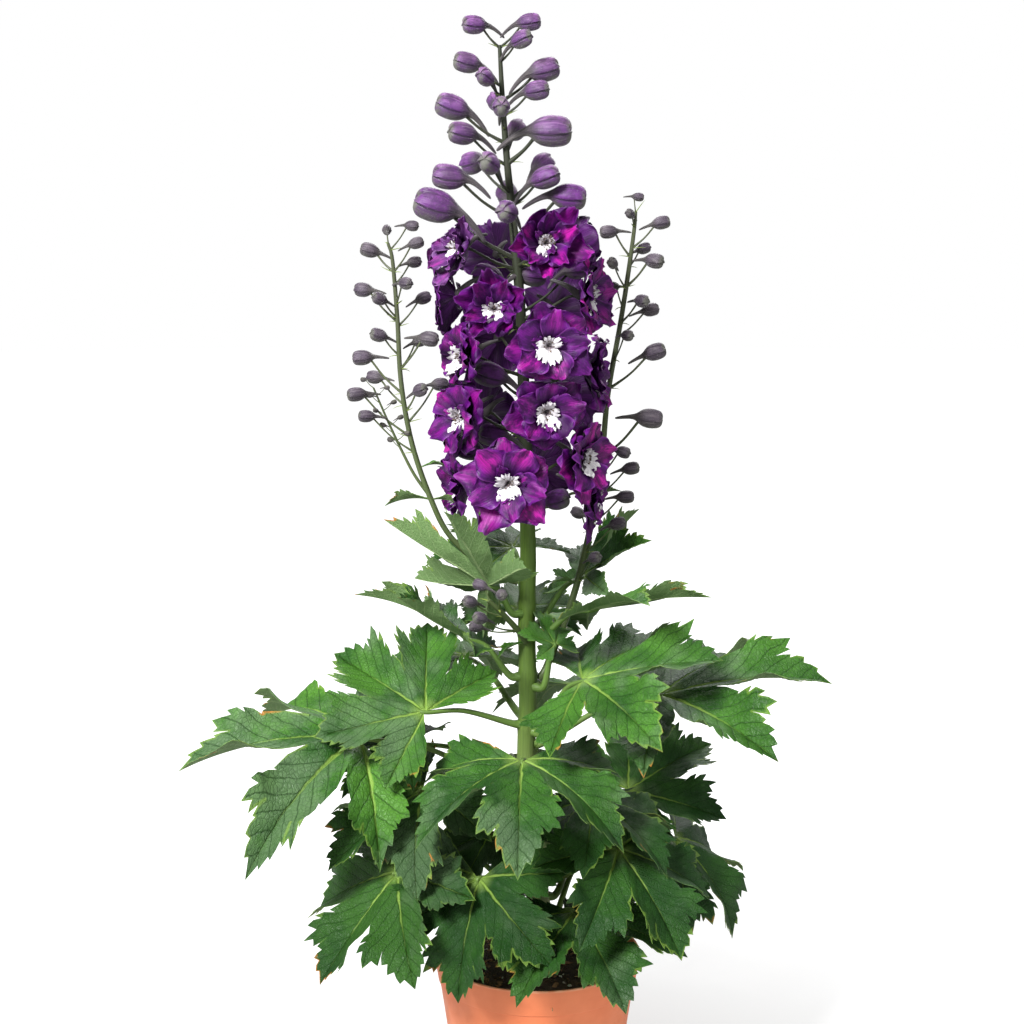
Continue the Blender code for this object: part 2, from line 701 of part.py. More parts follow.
def slim_neighbours():
    """Points, with the room to leave round them, along the side sprays and the lowest spike buds."""
    places = []
    for route, buds in ((LEFT_ROUTE, LEFT_BUDS), (RIGHT_ROUTE, RIGHT_BUDS)):
        height = route[0][2]
        while height < route[-1][2]:
            places.append((route_point(route, height), STALK_ROOM))
            height += 4 * STALK_ROOM
        for x, y, z, length in buds:
            bud = Vector((x, y, z))
            places.append((bud, BUD_ROOM * length))
            places.append((bud.lerp(spray_root(route, bud), 0.55), STALK_ROOM))
    top = max(height + length for _, height, _, _, _, _, length, _ in BLOOMS)
    for x, y, z, length in SPIKE_BUDS:
        if z - length < top:
            bud = Vector((x, y, z))
            places.append((bud, BUD_ROOM * length))
            places.append((bud.lerp(spike_root(bud), 0.35), SPUR_ROOM))
            places.append((bud.lerp(spike_root(bud), 0.65), STALK_ROOM))
    return places


def cell_planes(row):
    """Planes between this floret and its neighbours, so that nothing crosses."""
    centre = bloom_frame(row).translation
    planes = []
    for other in BLOOMS:
        if other is row:
            continue
        way = bloom_frame(other).translation - centre
        share = row[6] / (row[6] + other[6])
        if way.length < row[6] + other[6] + CELL_REACH:
            planes.append((centre + way * share, way.normalized()))
    for place, room in slim_neighbours():
        way = place - centre
        if way.length < row[6] + CELL_REACH:
            planes.append((place - way.normalized() * room, way.normalized()))
    return planes


def kept_in_cell(point, centre, planes, margin):
    """A point drawn towards the floret's centre until it lies behind every plane."""
    way = point - centre
    share = 1.0
    for place, normal in planes:
        over = way.dot(normal)
        if over > 0:
            share = min(share, ((place - centre).dot(normal) - margin) / over)
    return centre + way * share


def heart_loop(work, frame, level, turn):
    """Five vertices round the floret's axis, at a distance along it and from it."""
    out, radius = level
    angles = [turn + 2 * math.pi * index / SEPALS_IN_RING for index in range(SEPALS_IN_RING)]
    places = [Vector((out, radius * math.cos(angle), radius * math.sin(angle))) for angle in angles]
    return [work.verts.new(frame @ place) for place in places]


def make_sepal(work, frame, base, length, opening, turn, planes):
    """One sepal, grown from two neighbouring pairs of heart vertices: ((front, back), (front, back))."""
    spin = Matrix.Rotation(turn, 4, "X")
    lean = Matrix.Rotation(math.radians(opening - 90), 4, "Z")
    width = math.sin(math.radians(opening))
    start = (base[0][0].co + base[0][1].co + base[1][0].co + base[1][1].co) / 4
    start = (frame.inverted() @ start).x
    points = [(base[0][0].co + base[0][1].co) / 2]
    for along, across, lift in SEPAL_POINTS:
        local = lean @ Vector((lift * width * length, along * length, across * width * length))
        place = frame @ spin @ (local + Vector((start, 0.0, 0.0)))
        points.append(kept_in_cell(place, frame.translation, planes, CELL_MARGIN))
    points.insert(6, (base[1][0].co + base[1][1].co) / 2)
    triangles = [(7, index, (index + 1) % 7) for index in range(7)]
    walled_sheet(work, points, triangles, SEPAL_THICKNESS, {0: base[0], 6: base[1]}, (0, 6))


def grow_spur(work, frame, faces, corners):
    """The floret's spur, grown back and up from one side of its heart."""
    bmesh.ops.delete(work, geom=faces, context="FACES")
    loop = list(corners)
    for out, up, half_width in SPUR:
        ring = []
        for side, high in ((1, -1), (-1, -1), (-1, 1), (1, 1)):
            place = Vector((out + 0.4 * half_width * high, half_width * side, up + half_width * high))
            ring.append(work.verts.new(frame @ place))
        band(work, loop, ring)
        loop = ring
    work.faces.new(loop)


def make_bloom(row, number):
    """One semi-double floret: two rings of sepals round a pale tuft, on a heart with a spur."""
    name, _, _, _, _, _, length, opening = row
    rng = random.Random(100 + number)
    frame = bloom_frame(row)
    planes = cell_planes(row)
    first = rng.uniform(-0.3, 0.3)
    half = math.pi / SEPALS_IN_RING
    work = bmesh.new()
    seat = heart_loop(work, frame, SEAT, first)
    previous = seat
    for ring, levels in enumerate((OUTER_RING, INNER_RING)):
        turn = first + ring * half
        back = heart_loop(work, frame, levels[0], turn)
        front = heart_loop(work, frame, levels[1], turn)
        shoulder = band(work, previous, back)
        if ring == 0:
            grow_spur(work, frame, shoulder[2:4], (seat[1], seat[2], back[2], back[1]))
        for index in range(SEPALS_IN_RING):
            after = (index + 1) % SEPALS_IN_RING
            base = ((front[index], back[index]), (front[after], back[after]))
            reach = length * (INNER_SIZE if ring else 1.0) * rng.uniform(*SEPAL_SIZES)
            lean = opening * (INNER_OPENING if ring else 1.0) + rng.uniform(-SEPAL_SWING, SEPAL_SWING)
            middle = turn + half * (2 * index + 1)
            make_sepal(work, frame, base, reach, lean, middle, planes)
        previous = front
    flare = INNER_RING[1][1] + TUFT_FLARE * math.tan(math.radians(opening * INNER_OPENING))
    rim = heart_loop(work, frame, (TUFT_REACH, flare), first + 2 * half)
    tuft = band(work, previous, rim)
    pit = work.verts.new(frame @ Vector((TUFT_PIT, 0.0, 0.0)))
    for index in range(SEPALS_IN_RING):
        tuft.append(work.faces.new((rim[index], rim[(index + 1) % SEPALS_IN_RING], pit)))
    for face in tuft:
        face.material_index = 1
    work.faces.new(seat)
    bloom = finished(name, work, ("sepal", "bee"))
    shade_smooth(bloom)


def lobe_side(shape, hub, rib, edge, sinus):
    """The triangles of one side of a lobe, from its rib out to its cut edge."""
    if sinus is None:
        made = [(hub, rib[0], edge[0])]
    else:
        made = [(hub, rib[0], sinus), (rib[0], edge[0], sinus)]
    made.append((rib[0], edge[1], edge[0]))
    made.append((rib[0], rib[1], edge[1]))
    if shape is MAIN_LOBE:
        made += [(rib[1], edge[2], edge[1]), (rib[1], edge[3], edge[2]), (rib[1], rib[2], edge[3])]
    return made


def leaf_sheet(hub_width):
    """The flat pattern of a five-lobed leaf of unit size: its points and its triangles.

    Its first two points are the left and right corner of the hub, where the stalk joins.
    """
    points = [(0.0, hub_width / 2), (0.0, -hub_width / 2)]
    triangles = []
    sinuses = {}
    for number in range(len(LOBES) - 1):
        angle = math.radians((LOBES[number][0] + LOBES[number + 1][0]) / 2)
        points.append((SINUS_DEPTH * math.cos(angle), SINUS_DEPTH * math.sin(angle)))
        sinuses[number] = len(points) - 1
    for number, (azimuth, length, shape) in enumerate(LOBES):
        angle = math.radians(azimuth)
        along = length * Vector((math.cos(angle), math.sin(angle)))
        across = length * Vector((-math.sin(angle), math.cos(angle)))
        rib = []
        for share in (*shape["ribs"], 1.0):
            points.append(tuple(along * share))
            rib.append(len(points) - 1)
        if azimuth == 0:
            triangles.append((1, rib[0], 0))
        for side, sinus in ((1, sinuses.get(number)), (-1, sinuses.get(number - 1))):
            hub = 0 if azimuth + side > 0 else 1
            edge = []
            for share, width in shape["edge"]:
                points.append(tuple(along * share + across * (side * width)))
                edge.append(len(points) - 1)
            made = lobe_side(shape, hub, rib, edge, sinus)
            triangles += made if side > 0 else [tuple(reversed(triangle)) for triangle in made]
    return points, triangles


def bent(u, v, length, droop, phase):
    """A point of the flat pattern on the drooping, gently folded blade, hub at the origin."""
    reach = math.hypot(u, v)
    if reach == 0:
        return Vector((0.0, 0.0, 0.0))
    turn = math.atan2(v, u)
    curve = math.radians(droop) * (1.0 + 0.5 * math.sin(turn) ** 2)
    angle = curve * reach
    out = math.sin(angle) / curve if curve else reach
    down = (1.0 - math.cos(angle)) / curve if curve else 0.0
    offset = abs((turn + LOBE_SPACING / 2) % LOBE_SPACING - LOBE_SPACING / 2)
    fold = LEAF_FOLD * reach * (1.0 - math.cos(math.pi * offset / LOBE_SPACING))
    wave = LEAF_WAVE * reach * reach * math.sin(3.0 * turn + phase)
    return Vector((out * u / reach, out * v / reach, fold + wave - down)) * length


def leaf_frame(row):
    _, _, azimuth, reach, height, heading, elevation, roll, _, _ = row
    hub = stem_point(height) + reach * around(azimuth)
    turn = Matrix.Rotation(math.radians(heading), 4, "Z")
    turn = turn @ Matrix.Rotation(math.radians(-elevation), 4, "Y")
    turn = turn @ Matrix.Rotation(math.radians(roll), 4, "X")
    return Matrix.Translation(hub) @ turn


def stalk_loop(work, centre, side, up, half_width):
    corners = ((1, 1), (-1, 1), (-1, -1), (1, -1))
    return [work.verts.new(centre + half_width * (side * a + up * b)) for a, b in corners]


def make_leaf(row, number):
    """One leaf: its cut blade and the stalk that carries it, foot close against the stem."""
    name, foot_height, azimuth, reach, _, _, _, _, length, droop = row
    frame = leaf_frame(row)
    pattern, triangles = leaf_sheet(HUB_WIDTH / length)
    points = [frame @ bent(u, v, length, droop, 1.7 * number) for u, v in pattern]
    work = bmesh.new()
    front, back = walled_sheet(work, points, triangles, LEAF_THICKNESS, {}, (0, 1))
    out = around(azimuth)
    side = around(azimuth + 90)
    upright = Vector((0.0, 0.0, 1.0))
    foot = stem_point(foot_height) + out * (stem_radius(foot_height) + GAP)
    knee = foot + out * STALK_KNEE[0] + upright * STALK_KNEE[1]
    hub = frame.translation
    arch = STALK_ARCH[0] * (hub.z - knee.z) + STALK_ARCH[1]
    middle = knee.lerp(hub, STALK_MIDDLE) + upright * arch
    loops = [
        stalk_loop(work, foot, side, upright, STALK_HALF_WIDTHS[0]),
        stalk_loop(work, knee, side, upright, STALK_HALF_WIDTHS[1]),
        stalk_loop(work, middle, side, upright, STALK_HALF_WIDTHS[2]),
        [front[0], front[1], back[1], back[0]],
    ]
    for low, high in zip(loops, loops[1:]):
        band(work, low, high)
    work.faces.new(loops[0])
    leaf = finished(name, work, ("leaf",))
    shade_smooth(leaf)


clear_scene()
PARTS = new_collection("potted_delphinium")
CUTTERS = new_collection("cutters")
make_pot()
make_soil()
make_main_stem()
make_spray("left_spray", LEFT_ROUTE, LEFT_BUDS)
make_spray("right_spray", RIGHT_ROUTE, RIGHT_BUDS)
make_spray("low_spray", LOW_ROUTE, LOW_BUDS)
for count, bloom_row in enumerate(BLOOMS):
    make_bloom(bloom_row, count)
for count, leaf_row in enumerate(LEAVES):
    make_leaf(leaf_row, count)
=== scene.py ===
import math
import random

import bmesh
import bpy
import numpy as np
from mathutils import Matrix, Vector
from mathutils.geometry import delaunay_2d_cdt


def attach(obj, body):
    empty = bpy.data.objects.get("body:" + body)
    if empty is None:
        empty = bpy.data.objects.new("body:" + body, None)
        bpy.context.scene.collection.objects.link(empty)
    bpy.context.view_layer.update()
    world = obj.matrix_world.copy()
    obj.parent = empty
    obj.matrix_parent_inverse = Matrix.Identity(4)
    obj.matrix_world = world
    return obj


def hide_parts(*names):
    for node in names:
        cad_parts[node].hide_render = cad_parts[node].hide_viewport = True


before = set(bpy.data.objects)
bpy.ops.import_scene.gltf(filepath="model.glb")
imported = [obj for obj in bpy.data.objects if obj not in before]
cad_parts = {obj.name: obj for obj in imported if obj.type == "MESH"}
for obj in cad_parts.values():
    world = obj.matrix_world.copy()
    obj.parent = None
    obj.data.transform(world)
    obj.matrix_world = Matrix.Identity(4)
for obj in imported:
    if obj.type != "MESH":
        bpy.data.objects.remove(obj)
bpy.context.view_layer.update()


# The studio: a wide pale floor under an even white sky, one large soft lamp high on the left, a weaker
# one on the right and one behind. The camera stands where the photographer's stood, a little above the
# middle of the plant, so that the bottom edge of the picture cuts across the pot.
CAMERA_PLACE = (-0.0185, -1.25, 0.64)
CAMERA_PITCH = math.radians(-8.87)
CAMERA_LENS = 62.5
CAMERA_FILM = 36.0
PLANT_MIDDLE = Vector((0.0, 0.0, 0.4))
# Each lamp: (name, place, width, watts)
LAMPS = (
    ("window lamp", (-1.2, -1.6, 1.9), 0.7, 122.0),
    ("fill lamp", (1.9, -1.2, 0.9), 1.4, 9.0),
    ("back lamp", (0.4, 1.9, 1.8), 1.4, 34.0),
)
FLOOR_RADIUS = 9.0
SKY_LIGHT = 0.36
SKY_SEEN = 1.0
FLOOR_GREY = (0.50, 0.50, 0.50)
# The floor glows for the camera alone, less near the pot, so that the pot's shadow shows
FLOOR_GLOW = 0.85
FLOOR_GLOW_NEAR = 0.42
SHADE_REACH = (0.08, 0.75)


class Wiring:
    """Short calls for placing and joining the nodes of one tree."""

    def __init__(self, tree):
        self.tree = tree

    def add(self, kind, inputs=None, **settings):
        made = self.tree.nodes.new(kind)
        for key, value in settings.items():
            setattr(made, key, value)
        for key, value in (inputs or {}).items():
            self.put(made.inputs[key], value)
        return made

    def put(self, socket, value):
        if isinstance(value, bpy.types.NodeSocket):
            self.tree.links.new(value, socket)
        elif isinstance(value, tuple) and socket.type == "RGBA":
            socket.default_value = (*value, 1.0)
        else:
            socket.default_value = value

    def math(self, operation, first, second=0.0, third=0.0):
        made = self.add("ShaderNodeMath", operation=operation)
        for socket, value in zip(made.inputs, (first, second, third)):
            self.put(socket, value)
        return made.outputs[0]

    def times(self, first, second):
        return self.math("MULTIPLY", first, second)

    def vector(self, operation, first, second):
        return self.add("ShaderNodeVectorMath", {0: first, 1: second}, operation=operation).outputs[0]

    def split(self, vector):
        """The X, Y and Z of a vector."""
        return self.add("ShaderNodeSeparateXYZ", {"Vector": vector}).outputs

    def ramp(self, value, low, high, low_out=0.0, high_out=1.0):
        """The value carried smoothly from the range low to high onto another range."""
        made = self.add("ShaderNodeMapRange", interpolation_type="SMOOTHSTEP")
        for socket, entry in zip(made.inputs, (value, low, high, low_out, high_out)):
            self.put(socket, entry)
        return made.outputs[0]

    def mix(self, share, first, second):
        made = self.add("ShaderNodeMix", data_type="RGBA")
        self.put(made.inputs[0], share)
        self.put(made.inputs[6], first)
        self.put(made.inputs[7], second)
        return made.outputs[2]

    def noise(self, place, scale, detail=2.0, roughness=0.5):
        values = {"Vector": place, "Scale": scale, "Detail": detail, "Roughness": roughness}
        return self.add("ShaderNodeTexNoise", values).outputs["Fac"]

    def stretch(self, place, scale):
        """The coordinates with each axis scaled by its own amount."""
        return self.add("ShaderNodeMapping", {"Vector": place, "Scale": scale}).outputs[0]

    def camera_ray(self):
        """1 where the camera looks straight at the point, and 0 where light only bounces off it."""
        return self.add("ShaderNodeLightPath").outputs["Is Camera Ray"]

    def object_place(self):
        """Where the point lies on the finished object, in metres."""
        return self.add("ShaderNodeTexCoord").outputs["Object"]

    def own(self):
        """The place in its own pattern that each vertex of a piece carries."""
        return self.add("ShaderNodeAttribute", attribute_name="own").outputs["Vector"]

    def tone(self):
        return self.add("ShaderNodeAttribute", attribute_name="tone").outputs["Fac"]

    def bump(self, shader, relief, strength, distance):
        """Roughens the shader's surface by a relief of that depth in metres."""
        made = self.add("ShaderNodeBump", {"Height": relief, "Strength": strength, "Distance": distance})
        self.put(shader.inputs["Normal"], made.outputs["Normal"])


def new_material(name, **constants):
    """An empty Principled material with its constants set: (itself, its wiring, its shader)."""
    made = bpy.data.materials.new(name)
    made.use_nodes = True
    wiring = Wiring(made.node_tree)
    shader = made.node_tree.nodes["Principled BSDF"]
    for key, value in constants.items():
        wiring.put(shader.inputs[key.replace("_", " ")], value)
    return made, wiring, shader


def new_piece(name, data):
    """A new object in the scene, unturned and at the origin."""
    piece = bpy.data.objects.new(name, data)
    bpy.context.scene.collection.objects.link(piece)
    return piece


camera = new_piece("camera", bpy.data.cameras.new("camera"))
camera.data.lens = CAMERA_LENS
camera.data.sensor_width = CAMERA_FILM
camera.data.clip_end = 60.0
camera.location = CAMERA_PLACE
camera.rotation_euler = (math.pi / 2 + CAMERA_PITCH, 0.0, 0.0)
bpy.context.scene.camera = camera
bpy.context.scene.view_settings.view_transform = "Standard"

world = bpy.data.worlds.new("white sky")
world.use_nodes = True
bpy.context.scene.world = world
sky = world.node_tree.nodes["Background"]
wiring = Wiring(world.node_tree)
strength = {"Value": wiring.camera_ray(), "To Min": SKY_LIGHT, "To Max": SKY_SEEN}
wiring.put(sky.inputs["Color"], (1.0, 1.0, 1.0))
wiring.put(sky.inputs["Strength"], wiring.add("ShaderNodeMapRange", strength).outputs["Result"])


def soft_lamp(name, place, size, watts):
    """A square soft lamp that faces the middle of the plant."""
    lamp = bpy.data.lights.new(name, "AREA")
    lamp.shape = "SQUARE"
    lamp.size = size
    lamp.energy = watts
    holder = new_piece(name, lamp)
    holder.location = place
    holder.rotation_euler = (PLANT_MIDDLE - Vector(place)).to_track_quat("-Z", "Y").to_euler()


for name, place, size, watts in LAMPS:
    soft_lamp(name, place, size, watts)

bpy.ops.mesh.primitive_circle_add(vertices=96, radius=FLOOR_RADIUS, fill_type="NGON", location=(0, 0, 0))
floor = bpy.context.object
floor.name = "floor"
paint, wiring, shader = new_material("white floor", Base_Color=FLOOR_GREY, Roughness=0.9)
wiring.put(shader.inputs["Emission Color"], (1.0, 1.0, 1.0))
away = wiring.add("ShaderNodeVectorMath", {0: wiring.object_place()}, operation="LENGTH").outputs["Value"]
glow = {"Value": away, "From Min": SHADE_REACH[0], "From Max": SHADE_REACH[1],
        "To Min": FLOOR_GLOW_NEAR, "To Max": FLOOR_GLOW}
glow = wiring.add("ShaderNodeMapRange", glow).outputs["Result"]
glow = wiring.add("ShaderNodeMapRange", {"Value": wiring.camera_ray(), "To Max": glow}).outputs["Result"]
wiring.put(shader.inputs["Emission Strength"], glow)
floor.data.materials.append(paint)


# The pot: moulded from terracotta-coloured plastic, thin in the wall, with a plain collar under its
# rim and four drain holes in its floor. The colour is in the plastic, so it is even, with only faint
# mottling, fine rings from the mould and a lighter worn edge on the rim.
POT_HEIGHT = 0.118
POT_RIM_RADIUS = 0.076
POT_WALL = 0.002
POT_FLOOR = 0.003
COLLAR_HEIGHT = 0.020
COLLAR_STEP = 0.0012
WALL_TAPER = math.radians(8.2)
RIM_ROUND = 0.0009
RIM_SLOPE = (0.0008, 0.006)
RIM_WORN = (0.0022, 0.0002)
INNER_ROUND = 0.002
COLLAR_ROUND = 0.0006
COLLAR_GROOVE = (0.0002, 0.0012)
FOOT_ROUND = 0.0018
FOOT_RING = (0.050, 0.048)
FOOT_HOLLOW = 0.0008
DRAIN_HOLE_RADIUS = 0.004
DRAIN_HOLE_REACH = 0.036
TERRACOTTA = (0.90, 0.265, 0.115)
TERRACOTTA_DARK = (0.72, 0.17, 0.065)
TERRACOTTA_WORN = (0.93, 0.46, 0.27)


def shader_group(name, inputs, outputs, build):
    """A shader node group: its named sockets, and its inside made by build(wiring, inputs)."""
    tree = bpy.data.node_groups.new(name, "ShaderNodeTree")
    for title, kind, value in inputs:
        socket = tree.interface.new_socket(title, in_out="INPUT", socket_type=kind)
        if value is not None:
            socket.default_value = value
    for title, kind in outputs:
        tree.interface.new_socket(title, in_out="OUTPUT", socket_type=kind)
    wiring = Wiring(tree)
    given = wiring.add("NodeGroupInput")
    results = build(wiring, given.outputs)
    end = wiring.add("NodeGroupOutput")
    for title, value in results.items():
        wiring.put(end.inputs[title], value)
    return tree


def place_group(wiring, tree, values):
    made = wiring.add("ShaderNodeGroup", node_tree=tree)
    for key, value in values.items():
        wiring.put(made.inputs[key], value)
    return made


def build_mottling(wiring, given):
    """Broad patches with finer ones inside them, between 0 and 1."""
    broad = wiring.noise(given["Place"], given["Scale"], 2.0)
    fine = wiring.noise(given["Place"], wiring.times(given["Scale"], 5.3), 3.0, 0.6)
    both = wiring.math("ADD", wiring.times(broad, 0.7), wiring.times(fine, 0.3))
    return {"Mask": wiring.ramp(both, 0.36, 0.64)}


MOTTLING = shader_group(
    "mottling",
    (("Place", "NodeSocketVector", None), ("Scale", "NodeSocketFloat", 30.0)),
    (("Mask", "NodeSocketFloat"),),
    build_mottling,
)


def mottling(wiring, place, scale):
    return place_group(wiring, MOTTLING, {"Place": place, "Scale": scale}).outputs["Mask"]


def terracotta_material():
    made, wiring, shader = new_material("terracotta plastic", Roughness=0.42, Specular_IOR_Level=0.3)
    place = wiring.object_place()
    height = wiring.split(place)["Z"]
    mottled = mottling(wiring, place, 22.0)
    colour = wiring.mix(wiring.times(mottled, 0.35), TERRACOTTA, TERRACOTTA_DARK)
    rings = wiring.noise(wiring.stretch(place, (3.0, 3.0, 900.0)), 1.0, 2.0)
    edge = wiring.ramp(height, POT_HEIGHT - RIM_WORN[0], POT_HEIGHT - RIM_WORN[1])
    scuffs = wiring.ramp(wiring.noise(place, 160.0, 3.0), 0.35, 0.65, 0.35, 1.0)
    colour = wiring.mix(wiring.times(edge, scuffs), colour, TERRACOTTA_WORN)
    grime = wiring.ramp(height, 0.0, 0.012, 0.45, 0.0)
    colour = wiring.mix(wiring.times(grime, scuffs), colour, (0.33, 0.14, 0.08))
    wiring.put(shader.inputs["Base Color"], colour)
    wiring.put(shader.inputs["Roughness"], wiring.ramp(mottled, 0.0, 1.0, 0.38, 0.52))
    relief = wiring.math("ADD", wiring.times(rings, 0.6), wiring.times(scuffs, 0.25))
    wiring.bump(shader, relief, 0.12, 0.0006)
    return made


def dressed(piece, slot, *nodes):
    """Puts a finished piece on the plant's one body, in place of the plain nodes it stands for."""
    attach(piece, "root")
    if nodes:
        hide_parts(*nodes)


def evaluated(piece):
    """The piece with its modifiers made part of its mesh."""
    graph = bpy.context.evaluated_depsgraph_get()
    mesh = bpy.data.meshes.new_from_object(piece.evaluated_get(graph))
    piece.modifiers.clear()
    old = piece.data
    piece.data = mesh
    bpy.data.meshes.remove(old)


def arc(centre, radius, first, last, steps):
    """Points on an arc of a profile, from one angle to another in degrees."""
    angles = [math.radians(first + (last - first) * step / steps) for step in range(steps + 1)]
    return [(centre[0] + radius * math.cos(a), centre[1] + radius * math.sin(a)) for a in angles]


def turned(name, profile, steps):
    """A turned solid: its profile, as (radius, height) points, screwed round the upright axis."""
    mesh = bpy.data.meshes.new(name)
    mesh.from_pydata([(x, 0.0, z) for x, z in profile], [(i, i + 1) for i in range(len(profile) - 1)], [])
    piece = new_piece(name, mesh)
    screw = piece.modifiers.new("turn", "SCREW")
    screw.steps = steps
    screw.render_steps = steps
    screw.use_merge_vertices = True
    screw.merge_threshold = 0.00001
    evaluated(piece)
    work = bmesh.new()
    work.from_mesh(piece.data)
    bmesh.ops.recalc_face_normals(work, faces=work.faces)
    if work.calc_volume(signed=True) < 0:
        bmesh.ops.reverse_faces(work, faces=work.faces)
    work.to_mesh(piece.data)
    work.free()
    return piece


def wall_radius(height):
    """Outer radius of the pot's wall below its collar."""
    top = POT_RIM_RADIUS - COLLAR_HEIGHT * math.tan(WALL_TAPER) - COLLAR_STEP
    return top - (POT_HEIGHT - COLLAR_HEIGHT - height) * math.tan(WALL_TAPER)


collar_bottom = POT_HEIGHT - COLLAR_HEIGHT
collar_radius = POT_RIM_RADIUS - COLLAR_HEIGHT * math.tan(WALL_TAPER)
inner_floor = wall_radius(POT_FLOOR) - POT_WALL
inner_rim = POT_RIM_RADIUS - POT_WALL
rim_middle = (POT_RIM_RADIUS - POT_WALL / 2, POT_HEIGHT - RIM_ROUND)
pot_profile = [(0.0, POT_FLOOR), (inner_floor - INNER_ROUND, POT_FLOOR)]
pot_profile += arc((inner_floor - INNER_ROUND, POT_FLOOR + INNER_ROUND), INNER_ROUND, -90, 0, 4)[1:]
pot_profile += arc(rim_middle, RIM_ROUND, 180, 0, 8)
pot_profile += [(POT_RIM_RADIUS - RIM_SLOPE[0], POT_HEIGHT - RIM_SLOPE[1])]
pot_profile += arc((collar_radius - COLLAR_ROUND, collar_bottom + COLLAR_ROUND), COLLAR_ROUND, 0, -90, 3)
pot_profile += [(wall_radius(collar_bottom) + COLLAR_GROOVE[0], collar_bottom - COLLAR_GROOVE[0])]
pot_profile += [(wall_radius(collar_bottom), collar_bottom - COLLAR_GROOVE[1])]
pot_profile += [(wall_radius(height), height) for height in (0.075, 0.05, 0.025, 0.0025)]
pot_profile += arc((wall_radius(0.0) - 0.0020, FOOT_ROUND), FOOT_ROUND, -20, -90, 4)
pot_profile += [(FOOT_RING[0], 0.0), (FOOT_RING[1], FOOT_HOLLOW), (0.0, FOOT_HOLLOW)]
pot = turned("terracotta_pot", pot_profile, 128)
for corner in range(4):
    angle = math.radians(45 + 90 * corner)
    place = (DRAIN_HOLE_REACH * math.cos(angle), DRAIN_HOLE_REACH * math.sin(angle), 0.0)
    bpy.ops.mesh.primitive_cylinder_add(vertices=32, radius=DRAIN_HOLE_RADIUS, depth=0.02, location=place)
    drill = bpy.context.object
    cut = pot.modifiers.new("drain hole", "BOOLEAN")
    cut.operation = "DIFFERENCE"
    cut.solver = "EXACT"
    cut.object = drill
    evaluated(pot)
    bpy.data.objects.remove(drill, do_unlink=True)
pot.data.materials.clear()
pot.data.materials.append(terracotta_material())
pot.data.shade_smooth()
pot.data.set_sharp_from_angle(angle=math.radians(32))
dressed(pot, "terracotta", "pot")


# The soil: dark peat pressed into the pot, a little mounded round the stem, with its top raked into
# crumbs. Loose litter lies on it: bark chips, pale straws of peat moss and white grains of perlite,
# strewn over the surface by rule.
SOIL_LEVEL = POT_HEIGHT - 0.011
SOIL_BOTTOM = POT_FLOOR + 0.0003
STEM_FOOT = (0.080, 0.0079)
PEAT = (0.030, 0.018, 0.011)
PEAT_DRY = (0.085, 0.052, 0.030)
SOIL_MOUND = 0.0032
SOIL_DIP = 0.0012
SOIL_RINGS = 34
SOIL_SWELLS = 26
SWELL_HEIGHT = 0.00055
CRUMB_HEIGHT = 0.0002
STEEPEST_BED = 0.4
BIT_LEAN = 0.35
LUMP_SCALE = 300.0
LITTER_SHARE = 0.9
# Each kind of litter: (name, dark colour, light colour, most bits to a square metre, size, roughness)
LITTER = (
    ("bark chip", (0.16, 0.082, 0.042), (0.36, 0.20, 0.10), 9000.0, (0.0055, 0.0026, 0.0010), 0.45),
    ("peat crumb", (0.035, 0.020, 0.012), (0.11, 0.065, 0.036), 26000.0, (0.0022, 0.0018, 0.0014), 0.9),
    ("perlite grain", (0.62, 0.60, 0.54), (0.80, 0.79, 0.75), 1900.0, (0.0019, 0.0017, 0.0015), 0.9),
    ("moss straw", (0.40, 0.27, 0.13), (0.62, 0.48, 0.26), 2600.0, (0.0140, 0.0005, 0.0004), 0.35),
)


def earth_material(name, dark, light, scale, relief):
    made, wiring, shader = new_material(name, Roughness=0.92)
    place = wiring.object_place()
    mottled = mottling(wiring, place, scale)
    grain = wiring.noise(place, scale * 9.0, 3.0, 0.7)
    wiring.put(shader.inputs["Base Color"], wiring.mix(mottled, dark, light))
    lumps = wiring.math("ADD", grain, wiring.times(mottled, 0.5))
    wiring.bump(shader, lumps, 0.9, relief)
    return made


def node_tree(name, inputs, build):
    """A Geometry Nodes tree with named inputs; it ends in Realize Instances and Set Material."""
    tree = bpy.data.node_groups.new(name, "GeometryNodeTree")
    tree.interface.new_socket("Geometry", in_out="INPUT", socket_type="NodeSocketGeometry")
    for title, kind in (*inputs, ("Material", "NodeSocketMaterial")):
        tree.interface.new_socket(title, in_out="INPUT", socket_type=kind)
    tree.interface.new_socket("Geometry", in_out="OUTPUT", socket_type="NodeSocketGeometry")
    wiring = Wiring(tree)
    given = wiring.add("NodeGroupInput").outputs
    grown = wiring.add("GeometryNodeRealizeInstances", {"Geometry": build(wiring, given)})
    surface = {"Geometry": grown.outputs[0], "Material": given["Material"]}
    faced = wiring.add("GeometryNodeSetMaterial", surface)
    wiring.add("NodeGroupOutput", {"Geometry": faced.outputs[0]})
    return tree


def grow(piece, tree, material, **inputs):
    """Runs the tree on the piece's mesh with the given inputs, and keeps the result as its mesh."""
    modifier = piece.modifiers.new(tree.name, "NODES")
    modifier.node_group = tree
    values = {key.replace("_", " "): value for key, value in inputs.items()}
    values["Material"] = material
    for socket in tree.interface.items_tree:
        if socket.in_out == "INPUT" and socket.name in values:
            modifier[socket.identifier] = values[socket.name]
    evaluated(piece)


def random_tilt(wiring, lean, seed):
    """A lean of up to so much to any side, in radians, and any turn about the upright."""
    limits = {0: (-lean, -lean, 0.0), 1: (lean, lean, 2 * math.pi), "Seed": seed}
    return wiring.add("FunctionNodeRandomValue", limits, data_type="FLOAT_VECTOR").outputs[0]


